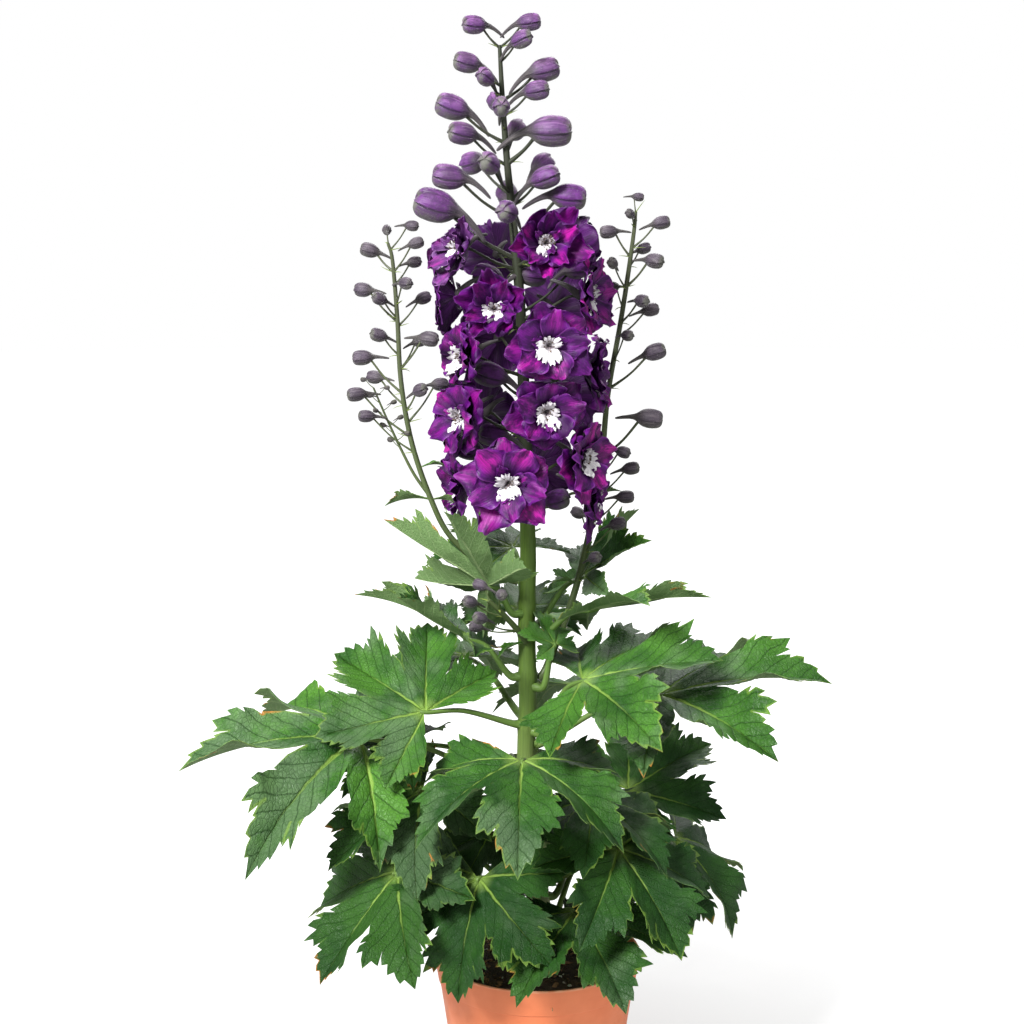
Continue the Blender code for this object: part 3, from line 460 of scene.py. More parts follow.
def random_size(wiring, least, most, seed):
    limits = {2: least, 3: most, "Seed": seed}
    return wiring.add("FunctionNodeRandomValue", limits, data_type="FLOAT").outputs[1]


def build_litter(wiring, given):
    """Bits of one kind lying about on the upward faces, each turned and scaled at random."""
    upright = wiring.split(wiring.add("GeometryNodeInputNormal").outputs[0])["Z"]
    upward = wiring.add("FunctionNodeCompare", {0: upright, 1: STEEPEST_BED}, operation="GREATER_THAN")
    strewn = wiring.add("GeometryNodeDistributePointsOnFaces", {
        "Mesh": given["Geometry"], "Selection": upward.outputs[0], "Density": given["Density"],
        "Seed": given["Seed"]})
    bit = wiring.add("GeometryNodeMeshCube", {"Size": given["Size"], "Vertices X": 4, "Vertices Y": 3})
    lumps = wiring.add("ShaderNodeTexNoise", {"Scale": given["Roughness"], "Detail": 2.0})
    offset = wiring.vector("SUBTRACT", lumps.outputs["Color"], (0.5, 0.5, 0.5))
    moved = wiring.vector("MULTIPLY", offset, given["Size"])
    bent_bit = wiring.add("GeometryNodeSetPosition", {"Geometry": bit.outputs[0], "Offset": moved})
    tilt = random_tilt(wiring, BIT_LEAN, given["Seed"])
    size = random_size(wiring, 0.45, 1.25, given["Seed"])
    return wiring.add("GeometryNodeInstanceOnPoints", {
        "Points": strewn.outputs["Points"], "Instance": bent_bit.outputs[0], "Rotation": tilt,
        "Scale": size}).outputs[0]


LITTER_TREE = node_tree(
    "strewn litter",
    (("Density", "NodeSocketFloat"), ("Size", "NodeSocketVector"), ("Roughness", "NodeSocketFloat"),
     ("Seed", "NodeSocketInt")),
    build_litter,
)


def soil_inside(height):
    share = (height - POT_FLOOR) / (POT_HEIGHT - POT_FLOOR)
    return inner_floor + (inner_rim - inner_floor) * share - 0.0008


foot_height, foot_radius = STEM_FOOT
bed_width = soil_inside(SOIL_LEVEL) - SOIL_DIP - foot_radius
soil_profile = [(0.0, foot_height), (foot_radius, foot_height)]
for step in range(SOIL_RINGS + 1):
    share = step / SOIL_RINGS
    radius = foot_radius + bed_width * step / SOIL_RINGS
    soil_profile.append((radius, SOIL_LEVEL + SOIL_MOUND * (1 - share) ** 1.5 - SOIL_DIP * share))
soil_profile += [(soil_inside(SOIL_LEVEL - 0.002), SOIL_LEVEL - 0.0026)]
soil_profile += [(soil_inside(SOIL_BOTTOM), SOIL_BOTTOM), (0.0, SOIL_BOTTOM)]
soil = turned("potting_soil", soil_profile, 144)
rng = random.Random(3)
# Each swell of the bed: (waves in a metre, the way it runs, where it starts, its strength)
swells = []
for _ in range(SOIL_SWELLS):
    swells.append((rng.uniform(40, 420), rng.uniform(0, 6.3), rng.uniform(0, 6.3), rng.uniform(-1, 1)))
for vertex in soil.data.vertices:
    x, y, height = vertex.co
    reach = math.hypot(x, y)
    if height > SOIL_LEVEL - 0.002 and foot_radius + 0.001 < reach:
        swell = 0.0
        for waves, way, start, strength in swells:
            run = x * math.cos(way) + y * math.sin(way)
            swell += math.sin(waves * run + start * 3) * strength / (1 + waves / 120)
        fade = min(1.0, (reach - foot_radius) / 0.004)
        vertex.co.z += SWELL_HEIGHT * swell * fade + rng.uniform(-CRUMB_HEIGHT, CRUMB_HEIGHT)
soil.data.shade_smooth()
peat = earth_material("damp peat", PEAT, PEAT_DRY, 90.0, 0.0012)
soil.data.materials.append(peat)
for number, (name, dark, light, density, size, roughness) in enumerate(LITTER):
    bits = new_piece(name.replace(" ", "_") + "s", soil.data.copy())
    bits.data.materials.clear()
    finish = earth_material(name, dark, light, 260.0, 0.0004)
    density *= LITTER_SHARE
    lumps = LUMP_SCALE * roughness
    grow(bits, LITTER_TREE, finish, Density=density, Size=size, Roughness=lumps, Seed=11 + number)
    dressed(bits, "soil")
dressed(soil, "soil", "soil")


# The main stem: one stout green stem, faintly ribbed, pale and a little brown at the joints low down
# and darker towards the flowers, where the darkness is partly painted shade among the florets. Each
# floret stands on a thin stalk that leaves it with a small pointed bract underneath. All of it is one
# growth, rooted in the soil.
STEM_ROUTE = (
    (0.000, 0.081, 0.0076),
    (0.000, 0.113, 0.0076),
    (0.003, 0.144, 0.0072),
    (-0.003, 0.200, 0.0070),
    (-0.008, 0.262, 0.0069),
    (-0.007, 0.307, 0.0068),
    (-0.008, 0.366, 0.0064),
    (-0.007, 0.410, 0.0060),
    (-0.008, 0.454, 0.0054),
    (-0.010, 0.525, 0.0046),
    (-0.013, 0.595, 0.0038),
    (-0.018, 0.650, 0.0031),
    (-0.022, 0.691, 0.0025),
    (-0.025, 0.731, 0.0020),
    (-0.027, 0.768, 0.0014),
)
# Each floret: (name, height, azimuth, reach from the stem, the way it faces, elevation, length of its
# sepals, how far it is open), in metres and degrees
BLOOMS = (
    ("bloom_01", 0.473, 256, 0.050, 267, 4, 0.038, 80),
    ("bloom_02", 0.566, 291, 0.050, 275, 2, 0.035, 78),
    ("bloom_03", 0.590, 247, 0.044, 262, 8, 0.029, 56),
    ("bloom_04", 0.634, 300, 0.041, 278, 10, 0.030, 58),
    ("bloom_05", 0.631, 202, 0.040, 222, 8, 0.031, 54),
    ("bloom_06", 0.598, 172, 0.045, 162, -4, 0.034, 72),
    ("bloom_07", 0.598, 338, 0.046, 338, 4, 0.033, 72),
    ("bloom_08", 0.556, 199, 0.040, 206, 4, 0.033, 74),
    ("bloom_09", 0.545, 350, 0.044, 350, 2, 0.034, 74),
    ("bloom_10", 0.516, 208, 0.046, 214, 0, 0.034, 76),
    ("bloom_11", 0.521, 288, 0.044, 285, 0, 0.034, 76),
    ("bloom_12", 0.487, 318, 0.048, 325, 2, 0.034, 76),
    ("bloom_13", 0.458, 350, 0.042, 350, -6, 0.031, 74),
    ("bloom_14", 0.632, 10, 0.040, 15, 8, 0.029, 58),
    ("bloom_15", 0.586, 56, 0.044, 56, 2, 0.034, 74),
    ("bloom_16", 0.626, 110, 0.040, 108, 8, 0.030, 58),
    ("bloom_17", 0.566, 112, 0.046, 112, 0, 0.035, 76),
    ("bloom_18", 0.528, 52, 0.046, 52, -2, 0.035, 76),
    ("bloom_19", 0.512, 128, 0.046, 130, 0, 0.035, 78),
    ("bloom_20", 0.472, 82, 0.046, 82, -4, 0.035, 78),
    ("bloom_21", 0.463, 186, 0.042, 192, -6, 0.032, 74),
)
SPAN_STEPS = 12
LOWER_SPANS = 8
FLOWER_STALK_WIDTHS = (0.0016, 0.0011, 0.0010, 0.0012)
NODE_HEIGHTS = (0.135, 0.150, 0.168, 0.190, 0.215, 0.240, 0.262, 0.288, 0.325, 0.357, 0.378)
FLORET_SEAT = -0.0028
STALK_BEND = 0.007
STEM_LOW = (0.27, 0.33, 0.12)
STEM_GREEN = (0.095, 0.165, 0.026)
# Dark high on the stem, and darker still as painted shade among the florets
STEM_HIGH_DARK_AND_SHADE = (0.030, 0.032, 0.020)
STEM_BROWN = (0.11, 0.055, 0.028)


def unit(ways):
    return ways / np.maximum(np.linalg.norm(ways, axis=-1, keepdims=True), 1e-12)


def smoothed(rows, spans):
    """A smooth run through the rows of numbers, with that many steps from each row to the next."""
    rows = np.asarray(rows, float)
    ends = np.vstack((2 * rows[0] - rows[1], rows, 2 * rows[-1] - rows[-2]))
    made = []
    for a, b, c, d in zip(ends, ends[1:], ends[2:], ends[3:]):
        for step in range(spans):
            t = step / spans
            curve = 2 * b + (c - a) * t + (2 * a - 5 * b + 4 * c - d) * t * t
            made.append((curve + (3 * b - a - 3 * c + d) * t ** 3) / 2)
    return np.array([*made, rows[-1]])


def between(table, key, column, value):
    """The value of one column of a route at a given height, read along straight lines."""
    return float(np.interp(value, [row[key] for row in table], [row[column] for row in table]))


def stem_point(height):
    return Vector((between(STEM_ROUTE, 1, 0, height), 0.0, height))


def stem_radius(height):
    return between(STEM_ROUTE, 1, 2, height)


def around(azimuth):
    angle = math.radians(azimuth)
    return Vector((math.cos(angle), math.sin(angle), 0.0))


def stored(wiring, geometry, name, value, kind):
    """The geometry with a value kept on its points under a name."""
    values = {"Geometry": geometry, "Name": name, "Value": value}
    return wiring.add("GeometryNodeStoreNamedAttribute", values, data_type=kind).outputs[0]


def carried(wiring, name, kind):
    """The value that the points carry under a name."""
    return wiring.add("GeometryNodeInputNamedAttribute", {"Name": name}, data_type=kind).outputs[0]


def build_stalks(wiring, given):
    """Each line of edges swept into a ribbed stalk of its own half widths, its ends closed."""
    lines = wiring.add("GeometryNodeMeshToCurve", {"Mesh": given["Geometry"]}).outputs[0]
    length = wiring.add("GeometryNodeSplineParameter").outputs["Length"]
    lines = stored(wiring, lines, "along", length, "FLOAT")
    ridge = wiring.math("SUBTRACT", 1.0, given["Ridges"])
    section = wiring.add("GeometryNodeCurveStar", {
        "Points": given["Ribs"], "Inner Radius": ridge, "Outer Radius": 1.0}).outputs["Curve"]
    place = wiring.add("GeometryNodeInputPosition").outputs[0]
    section = stored(wiring, section, "section", place, "FLOAT_VECTOR")
    width = carried(wiring, "half_width", "FLOAT")
    stalks = wiring.add("GeometryNodeCurveToMesh", {
        "Curve": lines, "Profile Curve": section, "Scale": width, "Fill Caps": True}).outputs[0]
    across = {0: carried(wiring, "section", "FLOAT_VECTOR"), "Scale": width}
    flat = wiring.split(wiring.add("ShaderNodeVectorMath", across, operation="SCALE").outputs[0])
    along = carried(wiring, "along", "FLOAT")
    own = wiring.add("ShaderNodeCombineXYZ", {"X": flat["X"], "Y": flat["Y"], "Z": along}).outputs[0]
    return stored(wiring, stalks, "own", own, "FLOAT_VECTOR")


STALK_TREE = node_tree(
    "ribbed stalks", (("Ribs", "NodeSocketInt"), ("Ridges", "NodeSocketFloat")), build_stalks
)


def stalks(name, routes, finish, ribs, ridges):
    """One piece of stalks: each route is a list of (x, y, z, half width) rows."""
    places = np.vstack([np.asarray(route)[:, :3] for route in routes])
    widths = np.concatenate([np.asarray(route)[:, 3] for route in routes])
    edges = []
    first = 0
    for route in routes:
        edges += [(first + step, first + step + 1) for step in range(len(route) - 1)]
        first += len(route)
    mesh = bpy.data.meshes.new(name)
    mesh.from_pydata(places.tolist(), edges, [])
    mesh.attributes.new("half_width", "FLOAT", "POINT").data.foreach_set("value", widths.astype(np.float32))
    piece = new_piece(name, mesh)
    grow(piece, STALK_TREE, finish, Ribs=ribs, Ridges=ridges)
    piece.data.shade_smooth()
    return piece


class Growth:
    """A piece of thin shells and swept parts, gathered part by part: vertices, faces, pattern and tone."""

    def __init__(self):
        self.places, self.patterns, self.tones, self.faces, self.finishes = [], [], [], [], []
        self.count = 0

    def add(self, places, faces, pattern, tone, finish=0):
        places = np.asarray(places, float).reshape(-1, 3)
        self.places.append(places)
        self.patterns.append(np.asarray(pattern, float).reshape(-1, 3))
        self.tones.append(np.broadcast_to(np.asarray(tone, float).reshape(-1), (len(places),)))
        self.faces += [[corner + self.count for corner in face] for face in faces]
        self.finishes += [finish] * len(faces)
        self.count += len(places)

    def made(self, name, *materials, sharp=50):
        """The finished piece: own holds each vertex's place in its pattern, tone its share of a tint."""
        mesh = bpy.data.meshes.new(name)
        mesh.from_pydata(np.vstack(self.places).tolist(), [], self.faces)
        own = mesh.attributes.new("own", "FLOAT_VECTOR", "POINT")
        own.data.foreach_set("vector", np.vstack(self.patterns).astype(np.float32).ravel())
        tone = mesh.attributes.new("tone", "FLOAT", "POINT")
        tone.data.foreach_set("value", np.concatenate(self.tones).astype(np.float32))
        for finish in materials:
            mesh.materials.append(finish)
        mesh.polygons.foreach_set("material_index", self.finishes)
        mesh.shade_smooth()
        mesh.set_sharp_from_angle(angle=math.radians(sharp))
        return new_piece(name, mesh)


def triples(*columns):
    """Rows of three numbers, from three arrays that are each spread to the shape of all."""
    return np.stack(np.broadcast_arrays(*columns), -1).reshape(-1, 3)


def thin_sheet(grid, thickness):
    """A closed thin shell on a grid of points: (front and back vertices, its quads with the rim)."""
    rows, columns = grid.shape[:2]
    normal = unit(np.cross(np.gradient(grid, axis=0), np.gradient(grid, axis=1)))
    offset = normal * (np.asarray(thickness)[..., None] / 2)
    index = np.arange(rows * columns).reshape(rows, columns)
    quads = np.stack((index[:-1, :-1], index[1:, :-1], index[1:, 1:], index[:-1, 1:]), -1).reshape(-1, 4)
    count = rows * columns
    ring = np.concatenate((index[:, 0], index[-1, 1:], index[-2::-1, -1], index[0, -2:0:-1]))
    after = np.roll(ring, -1)
    rim = np.stack((after, ring, ring + count, after + count), -1)
    places = np.concatenate(((grid + offset).reshape(-1, 3), (grid - offset).reshape(-1, 3)))
    return places, np.concatenate((quads, quads[:, ::-1] + count, rim)).tolist()


def bract(growth, foot, way, length, width, droop):
    """A narrow pointed bract: a small folded blade that leaves its foot in that way and bends over."""
    rows = np.linspace(0.0, 1.0, 9)[:, None]
    columns = np.linspace(-1.0, 1.0, 5)[None, :]
    out = np.array(Vector(way).normalized())
    side = unit(np.cross(out, (0.0, 0.0, 1.0)))
    up = np.cross(side, out)
    half = width / 2 * (0.35 + 1.6 * rows * (1.0 - rows) + 0.25 * (1 - rows))
    half = half * np.minimum(1.0, 4.0 * (1.02 - rows))
    lift = -droop * rows ** 2 * length + 0.35 * half * np.abs(columns)
    grid = (np.array(foot) + (out * (length * (rows + 0 * columns))[..., None]
            + side * (half * columns)[..., None] + up * lift[..., None]))
    places, faces = thin_sheet(grid, 0.0005 * (1.2 - rows + 0 * columns))
    own = triples(rows, columns, 0.0)
    growth.add(places, faces, np.concatenate((own, own)), 0.5)


def build_streaks(wiring, given):
    """Fine streaks that run along a stalk or a petal, between 0 and 1."""
    place = wiring.vector("MULTIPLY", given["Own"], given["Stretch"])
    return {"Mask": wiring.ramp(wiring.noise(place, 1.0, 3.0, 0.6), 0.33, 0.67)}


STREAKS = shader_group(
    "lengthwise streaks",
    (("Own", "NodeSocketVector", None), ("Stretch", "NodeSocketVector", None)),
    (("Mask", "NodeSocketFloat"),),
    build_streaks,
)


def streaking(wiring, own, stretch):
    return place_group(wiring, STREAKS, {"Own": own, "Stretch": stretch}).outputs["Mask"]


def stem_material(name, low, high, height_low, height_high, brown):
    """Stem skin: low and high colours by height, fine lengthwise streaks and brown joints."""
    made, wiring, shader = new_material(name, Roughness=0.5, Specular_IOR_Level=0.3)
    place = wiring.object_place()
    height = wiring.split(place)["Z"]
    own = wiring.own()
    streaks = streaking(wiring, own, (900.0, 900.0, 24.0))
    mottled = mottling(wiring, place, 45.0)
    colour = wiring.mix(wiring.ramp(height, height_low, height_high), low, high)
    darker = wiring.mix(0.5, colour, (0.02, 0.045, 0.012))
    colour = wiring.mix(wiring.times(streaks, 0.55), colour, darker)
    stained = wiring.times(wiring.ramp(mottled, 0.45, 0.9), brown)
    stained = wiring.times(stained, wiring.ramp(height, 0.12, 0.34, 1.0, 0.0))
    colour = wiring.mix(stained, colour, STEM_BROWN)
    wiring.put(shader.inputs["Base Color"], colour)
    wiring.put(shader.inputs["Roughness"], wiring.ramp(mottled, 0.0, 1.0, 0.38, 0.58))
    wiring.bump(shader, streaks, 0.35, 0.0003)
    return made


def seated(centre, heading, elevation, roll=0):
    """Axes at that centre: X turned to the heading and raised, then the rest rolled about it."""
    turn = Matrix.Rotation(math.radians(heading), 4, "Z") @ Matrix.Rotation(math.radians(-elevation), 4, "Y")
    return Matrix.Translation(centre) @ turn @ Matrix.Rotation(math.radians(roll), 4, "X")


def bloom_frame(row):
    """The floret's own axes in the world: X is the way it faces, Z leans up."""
    _, height, azimuth, reach, facing, elevation, _, _ = row
    return seated(stem_point(height) + reach * around(azimuth), facing, elevation)


stem_skin = stem_material("main stem skin", STEM_LOW, STEM_GREEN, 0.16, 0.32, 0.75)
# The floret stalks turn dark above the lowest florets, partly as painted shade among them
flower_stem_skin = stem_material("flower stalk skin", STEM_GREEN, STEM_HIGH_DARK_AND_SHADE, 0.40, 0.50, 0.0)
bract_skin = stem_material("bract skin", (0.27, 0.36, 0.06), (0.20, 0.27, 0.06), 0.3, 0.7, 0.2)

route = smoothed(STEM_ROUTE, SPAN_STEPS)
swelling = sum(0.13 * np.exp(-((route[:, 1] - height) / 0.0035) ** 2) for height in NODE_HEIGHTS)
route = np.stack((route[:, 0], 0 * route[:, 0], route[:, 1], route[:, 2] * (0.98 + swelling)), -1)
parting = LOWER_SPANS * SPAN_STEPS
lower_stem = stalks("main_stem_lower", [route[:parting + 1]], stem_skin, 18, 0.05)
dressed(lower_stem, "stem", "main_stem")
stalk_routes = [route[parting:]]
bracts = Growth()
rng = random.Random(5)
for row in BLOOMS:
    placing = bloom_frame(row)
    end = placing @ Vector((FLORET_SEAT, 0.0, 0.0))
    bend = placing @ Vector((FLORET_SEAT - STALK_BEND, 0.0, 0.0))
    foot = stem_point(bend.z - 0.45 * (bend - stem_point(bend.z)).length)
    way = (bend - foot).normalized()
    middle = foot.lerp(bend, 0.5) - Vector((0, 0, 0.0015))
    rows = [(*place, width) for place, width in zip((foot, middle, bend, end), FLOWER_STALK_WIDTHS)]
    stalk_routes.append(smoothed(rows, 5))
    away = Vector((way.x, way.y, 0.25))
    length = rng.uniform(0.010, 0.016)
    bract(bracts, foot + away * stem_radius(foot.z), away, length, 0.0020, rng.uniform(0.0, 0.5))
upper_stem = stalks("main_stem_upper", stalk_routes, flower_stem_skin, 10, 0.06)
dressed(upper_stem, "stem")
dressed(bracts.made("floret_bracts", bract_skin), "stem")


# The leaves: thin soft blades cut like an open hand into five lobes, each lobe cut again and edged with
# sharp teeth. Veins are sunk into the upper face so that the blade is quilted between them, the under
# face is paler and dull, and the teeth are tipped with yellow. The upper face carries painted shade
# along the sunk veins and on the lower and shadier leaves, and painted grey-green sheen in broad
# patches. A channelled stalk carries each blade.
# Each leaf: (name, height of its foot, azimuth, reach and height of its hub, heading, elevation, roll,
# length, droop), in metres and degrees
LEAVES = (
    ("leaf_01", 0.372, 211, 0.032, 0.395, 172, 32, 40, 0.088, 10),
    ("leaf_02", 0.382, 104, 0.044, 0.412, 134, 14, -6, 0.072, 25),
    ("leaf_03", 0.325, 188, 0.042, 0.354, 168, 28, 14, 0.088, 10),
    ("leaf_04", 0.290, 203, 0.079, 0.307, 152, 26, -36, 0.086, 10),
    ("leaf_05", 0.240, 191, 0.122, 0.286, 186, 8, -22, 0.138, 45),
    ("leaf_06", 0.255, 168, 0.088, 0.270, 170, -3, -10, 0.074, 25),
    ("leaf_07", 0.200, 202, 0.080, 0.250, 204, -24, -12, 0.090, 30),
    ("leaf_08", 0.150, 207, 0.108, 0.196, 208, -44, -8, 0.096, 20),
    ("leaf_09", 0.140, 242, 0.082, 0.200, 244, -58, 0, 0.085, 15),
    ("leaf_10", 0.245, 266, 0.058, 0.280, 268, -10, 0, 0.104, 35),
    ("leaf_11", 0.285, 322, 0.049, 0.330, 344, 18, 18, 0.102, 20),
    ("leaf_12", 0.275, 354, 0.096, 0.314, 356, 16, 10, 0.122, 20),
    ("leaf_13", 0.355, 350, 0.046, 0.376, 352, 16, -14, 0.086, 10),
    ("leaf_14", 0.362, 40, 0.054, 0.392, 34, 48, -14, 0.068, 10),
    ("leaf_15", 0.215, 18, 0.077, 0.232, 26, 24, 30, 0.080, 10),
    ("leaf_16", 0.190, 313, 0.088, 0.218, 312, -34, 2, 0.088, 25),
    ("leaf_17", 0.170, 358, 0.104, 0.205, 346, -40, 10, 0.086, 33),
    ("leaf_18", 0.135, 294, 0.064, 0.170, 292, -16, 6, 0.090, 23),
    ("leaf_19", 0.180, 223, 0.040, 0.217, 236, -34, -2, 0.058, 20),
    ("leaf_20", 0.225, 318, 0.060, 0.246, 320, -15, 0, 0.078, 30),
    ("leaf_21", 0.265, 64, 0.083, 0.300, 60, -6, 0, 0.094, 40),
    ("leaf_22", 0.225, 98, 0.091, 0.240, 96, -24, 0, 0.092, 40),
    ("leaf_23", 0.295, 128, 0.074, 0.326, 124, 2, 0, 0.088, 40),
    ("leaf_24", 0.165, 62, 0.092, 0.192, 58, -40, 0, 0.086, 30),
    ("leaf_25", 0.150, 146, 0.092, 0.186, 150, -42, 0, 0.086, 30),
    ("leaf_26", 0.335, 96, 0.054, 0.363, 82, 16, 0, 0.070, 30),
)
YOUNG_LEAVES = (
    ("young_leaf_1", 0.122, 300, 0.034, 0.158, 318, 6, 0, 0.052, 22),
    ("young_leaf_2", 0.120, 250, 0.030, 0.142, 236, 18, 0, 0.044, 20),
    ("young_leaf_3", 0.158, 20, 0.040, 0.196, 10, 4, 0, 0.054, 22),
    ("young_leaf_4", 0.128, 160, 0.036, 0.152, 150, 10, 0, 0.048, 20),
    ("young_leaf_5", 0.318, 329, 0.0235, 0.351, 140, 52, 0, 0.032, 15),
    ("young_leaf_6", 0.215, 300, 0.030, 0.236, 330, -12, 0, 0.050, 25),
    ("young_leaf_7", 0.135, 40, 0.046, 0.176, 20, -24, 0, 0.060, 25),
    ("young_leaf_8", 0.150, 120, 0.040, 0.186, 130, -20, 0, 0.058, 25),
)
LOBES = ((-104, 0.76), (-52, 0.94), (0, 1.00), (52, 0.94), (104, 0.76))
LOBE_SPACING = math.radians(52)
SINUS_DEPTH = 0.42
# Teeth of half a lobe, from the gap to the tip, as shares of its length: (along, across). Each tooth
# points forwards; the deep notch after the widest one parts the lobe into a middle and two side lobes.
LOBE_TEETH = (
    (0.535, 0.236), (0.528, 0.214), (0.640, 0.280), (0.622, 0.248), (0.735, 0.308), (0.708, 0.262),
    (0.835, 0.304), (0.780, 0.236), (0.812, 0.214), (0.705, 0.148), (0.805, 0.184), (0.790, 0.150),
    (0.885, 0.156), (0.862, 0.114), (0.950, 0.088), (0.924, 0.056),
)
OUTER_TEETH = (
    (0.290, 0.135), (0.292, 0.120), (0.420, 0.215), (0.415, 0.190), (0.560, 0.280), (0.545, 0.246),
    (0.700, 0.318), (0.672, 0.262), (0.820, 0.296), (0.760, 0.220), (0.790, 0.200), (0.700, 0.148),
    (0.810, 0.180), (0.795, 0.146), (0.900, 0.136), (0.876, 0.092),
)
BLADE_STEP = 0.0027
BLADE_THICKNESS = 0.0006
HUB_HALF_WIDTH = 0.0016
LEAF_STALK_WIDTHS = (0.0040, 0.0028, 0.0020, 0.0017, 0.0004)
LEAF_STALK_SIDES = 12
CHANNEL_DEPTH = 0.30
LEAF_FOLD = 0.16
LEAF_WAVE = 0.05
RUFFLE_HEIGHT = 0.016
QUILT_HEIGHT = 0.0105
RIB_DEPTH = 0.012
# How far, in degrees, the two halves of a lobe fold up towards each other past the gaps, and how much
# less than its row says a blade droops
LOBE_TROUGH = 16
DEEP_TROUGHS = {"leaf_01": 30, "leaf_03": 34, "leaf_05": 34, "leaf_12": 24, "leaf_13": 24, "leaf_14": 30}
UPTURN = {"leaf_01": 6, "leaf_03": 10}
# How slender the lobes are, where they aren't as broad as most
SLENDER = {
    "leaf_01": 0.66, "leaf_02": 0.7, "leaf_03": 0.62, "leaf_05": 0.74, "leaf_06": 0.8, "leaf_12": 0.84,
    "leaf_13": 0.62, "leaf_14": 0.8,
}
VEIN_SPACING = 0.115
VEIN_SLOPE = 1.45
RIB_HALF_WIDTH = 0.010
LEAF_DEEP = (0.006, 0.034, 0.006)
LEAF_MIDDLE = (0.026, 0.105, 0.013)
LEAF_FRESH = (0.095, 0.270, 0.028)
# Painted sheen: the grey-green of light glancing off the leaf
LEAF_PAINTED_SHEEN = (0.160, 0.245, 0.130)
# Painted shade in the sunk veins and the fine net
LEAF_GROOVE_SHADE = (0.008, 0.036, 0.004)
LEAF_VEIN = (0.30, 0.46, 0.09)
LEAF_UNDER = (0.120, 0.210, 0.070)
LEAF_EDGE = (0.22, 0.36, 0.05)
LEAF_SCORCH = (0.42, 0.17, 0.03)
# Painted shade: leaves are darkest below the first height and as they are above the second
SHADED_HEIGHTS = (0.16, 0.31)
# How fresh a leaf's green is, with painted shade and light, from 0 for a leaf in painted shade to 1 for a
# fresh one in painted light, where it isn't about the middle
FRESHNESS_AND_SHADE = {
    "leaf_01": 0.55, "leaf_03": 0.15, "leaf_04": 0.75, "leaf_05": 0.85, "leaf_06": 0.10, "leaf_07": 0.35,
    "leaf_08": 0.60, "leaf_09": 0.40, "leaf_11": 0.60, "leaf_13": 0.65, "leaf_14": 0.85, "leaf_16": 0.40,
    "leaf_17": 0.25, "leaf_18": 0.80, "leaf_19": 0.15, "leaf_20": 0.10, "young_leaf_1": 0.2,
    "young_leaf_5": 1.0, "young_leaf_6": 0.1,
}


def lobe_side(sinus, teeth, along, across, rng):
    """The toothed edge of half a lobe, from the gap beside it to its tip."""
    points = [np.array(sinus)] if sinus is not None else []
    for number, (out, width) in enumerate(teeth):
        shift = rng.uniform(-0.008, 0.008)
        place = along * (out + shift) + across * (width * rng.uniform(0.94, 1.05))
        if points and number % 2 == 0:
            before = points[-1]
            swell = np.array((-(place - before)[1], (place - before)[0]))
            outward = 1.0 if np.dot(swell, across) > 0 else -1.0
            points.append((before + place) / 2 + swell * (0.07 * outward))
        points.append(place)
    return points


def leaf_outline(hub, lobes, slender, rng):
    """The closed outline of the flat blade, counter-clockwise from its right hub corner."""
    outline = [np.array((0.0, -hub))]
    gaps = []
    for first, second in zip(lobes, lobes[1:]):
        angle = math.radians((first[0] + second[0]) / 2)
        depth = SINUS_DEPTH * slender * min(first[1], second[1]) ** 0.5
        gaps.append(depth * np.array((math.cos(angle), math.sin(angle))))
    last = len(lobes) - 1
    for number, (azimuth, length) in enumerate(lobes):
        angle = math.radians(azimuth)
        along = length * np.array((math.cos(angle), math.sin(angle)))
        across = length * slender * np.array((-math.sin(angle), math.cos(angle)))
        right = LOBE_TEETH if number else OUTER_TEETH
        left = LOBE_TEETH if number < last else OUTER_TEETH
        outline += lobe_side(gaps[number - 1] if number else None, right, along, -across, rng)
        outline.append(along)
        outline += lobe_side(gaps[number] if number < last else None, left, along, across, rng)[::-1]
        if number < last:
            outline.pop()
    outline.append(np.array((0.0, hub)))
    return np.array(outline)


def inside(points, outline):
    """Which points lie inside the closed outline."""
    x, y = points[:, 0:1], points[:, 1:2]
    x1, y1 = outline[:, 0], outline[:, 1]
    x2, y2 = np.roll(x1, -1), np.roll(y1, -1)
    meeting = (x2 - x1) * (y - y1) / np.where(y2 == y1, 1e-9, y2 - y1) + x1
    crossed = ((y1 > y) != (y2 > y)) & (x < meeting)
    return crossed.sum(1) % 2 == 1


def edge_distance(points, outline):
    """How far each point lies from the nearest stretch of the outline."""
    start = outline
    way = np.roll(outline, -1, axis=0) - outline
    offset = points[:, None, :] - start[None]
    share = np.clip((offset * way).sum(2) / np.maximum((way * way).sum(1), 1e-12), 0.0, 1.0)
    return np.linalg.norm(offset - share[..., None] * way, axis=2).min(1)


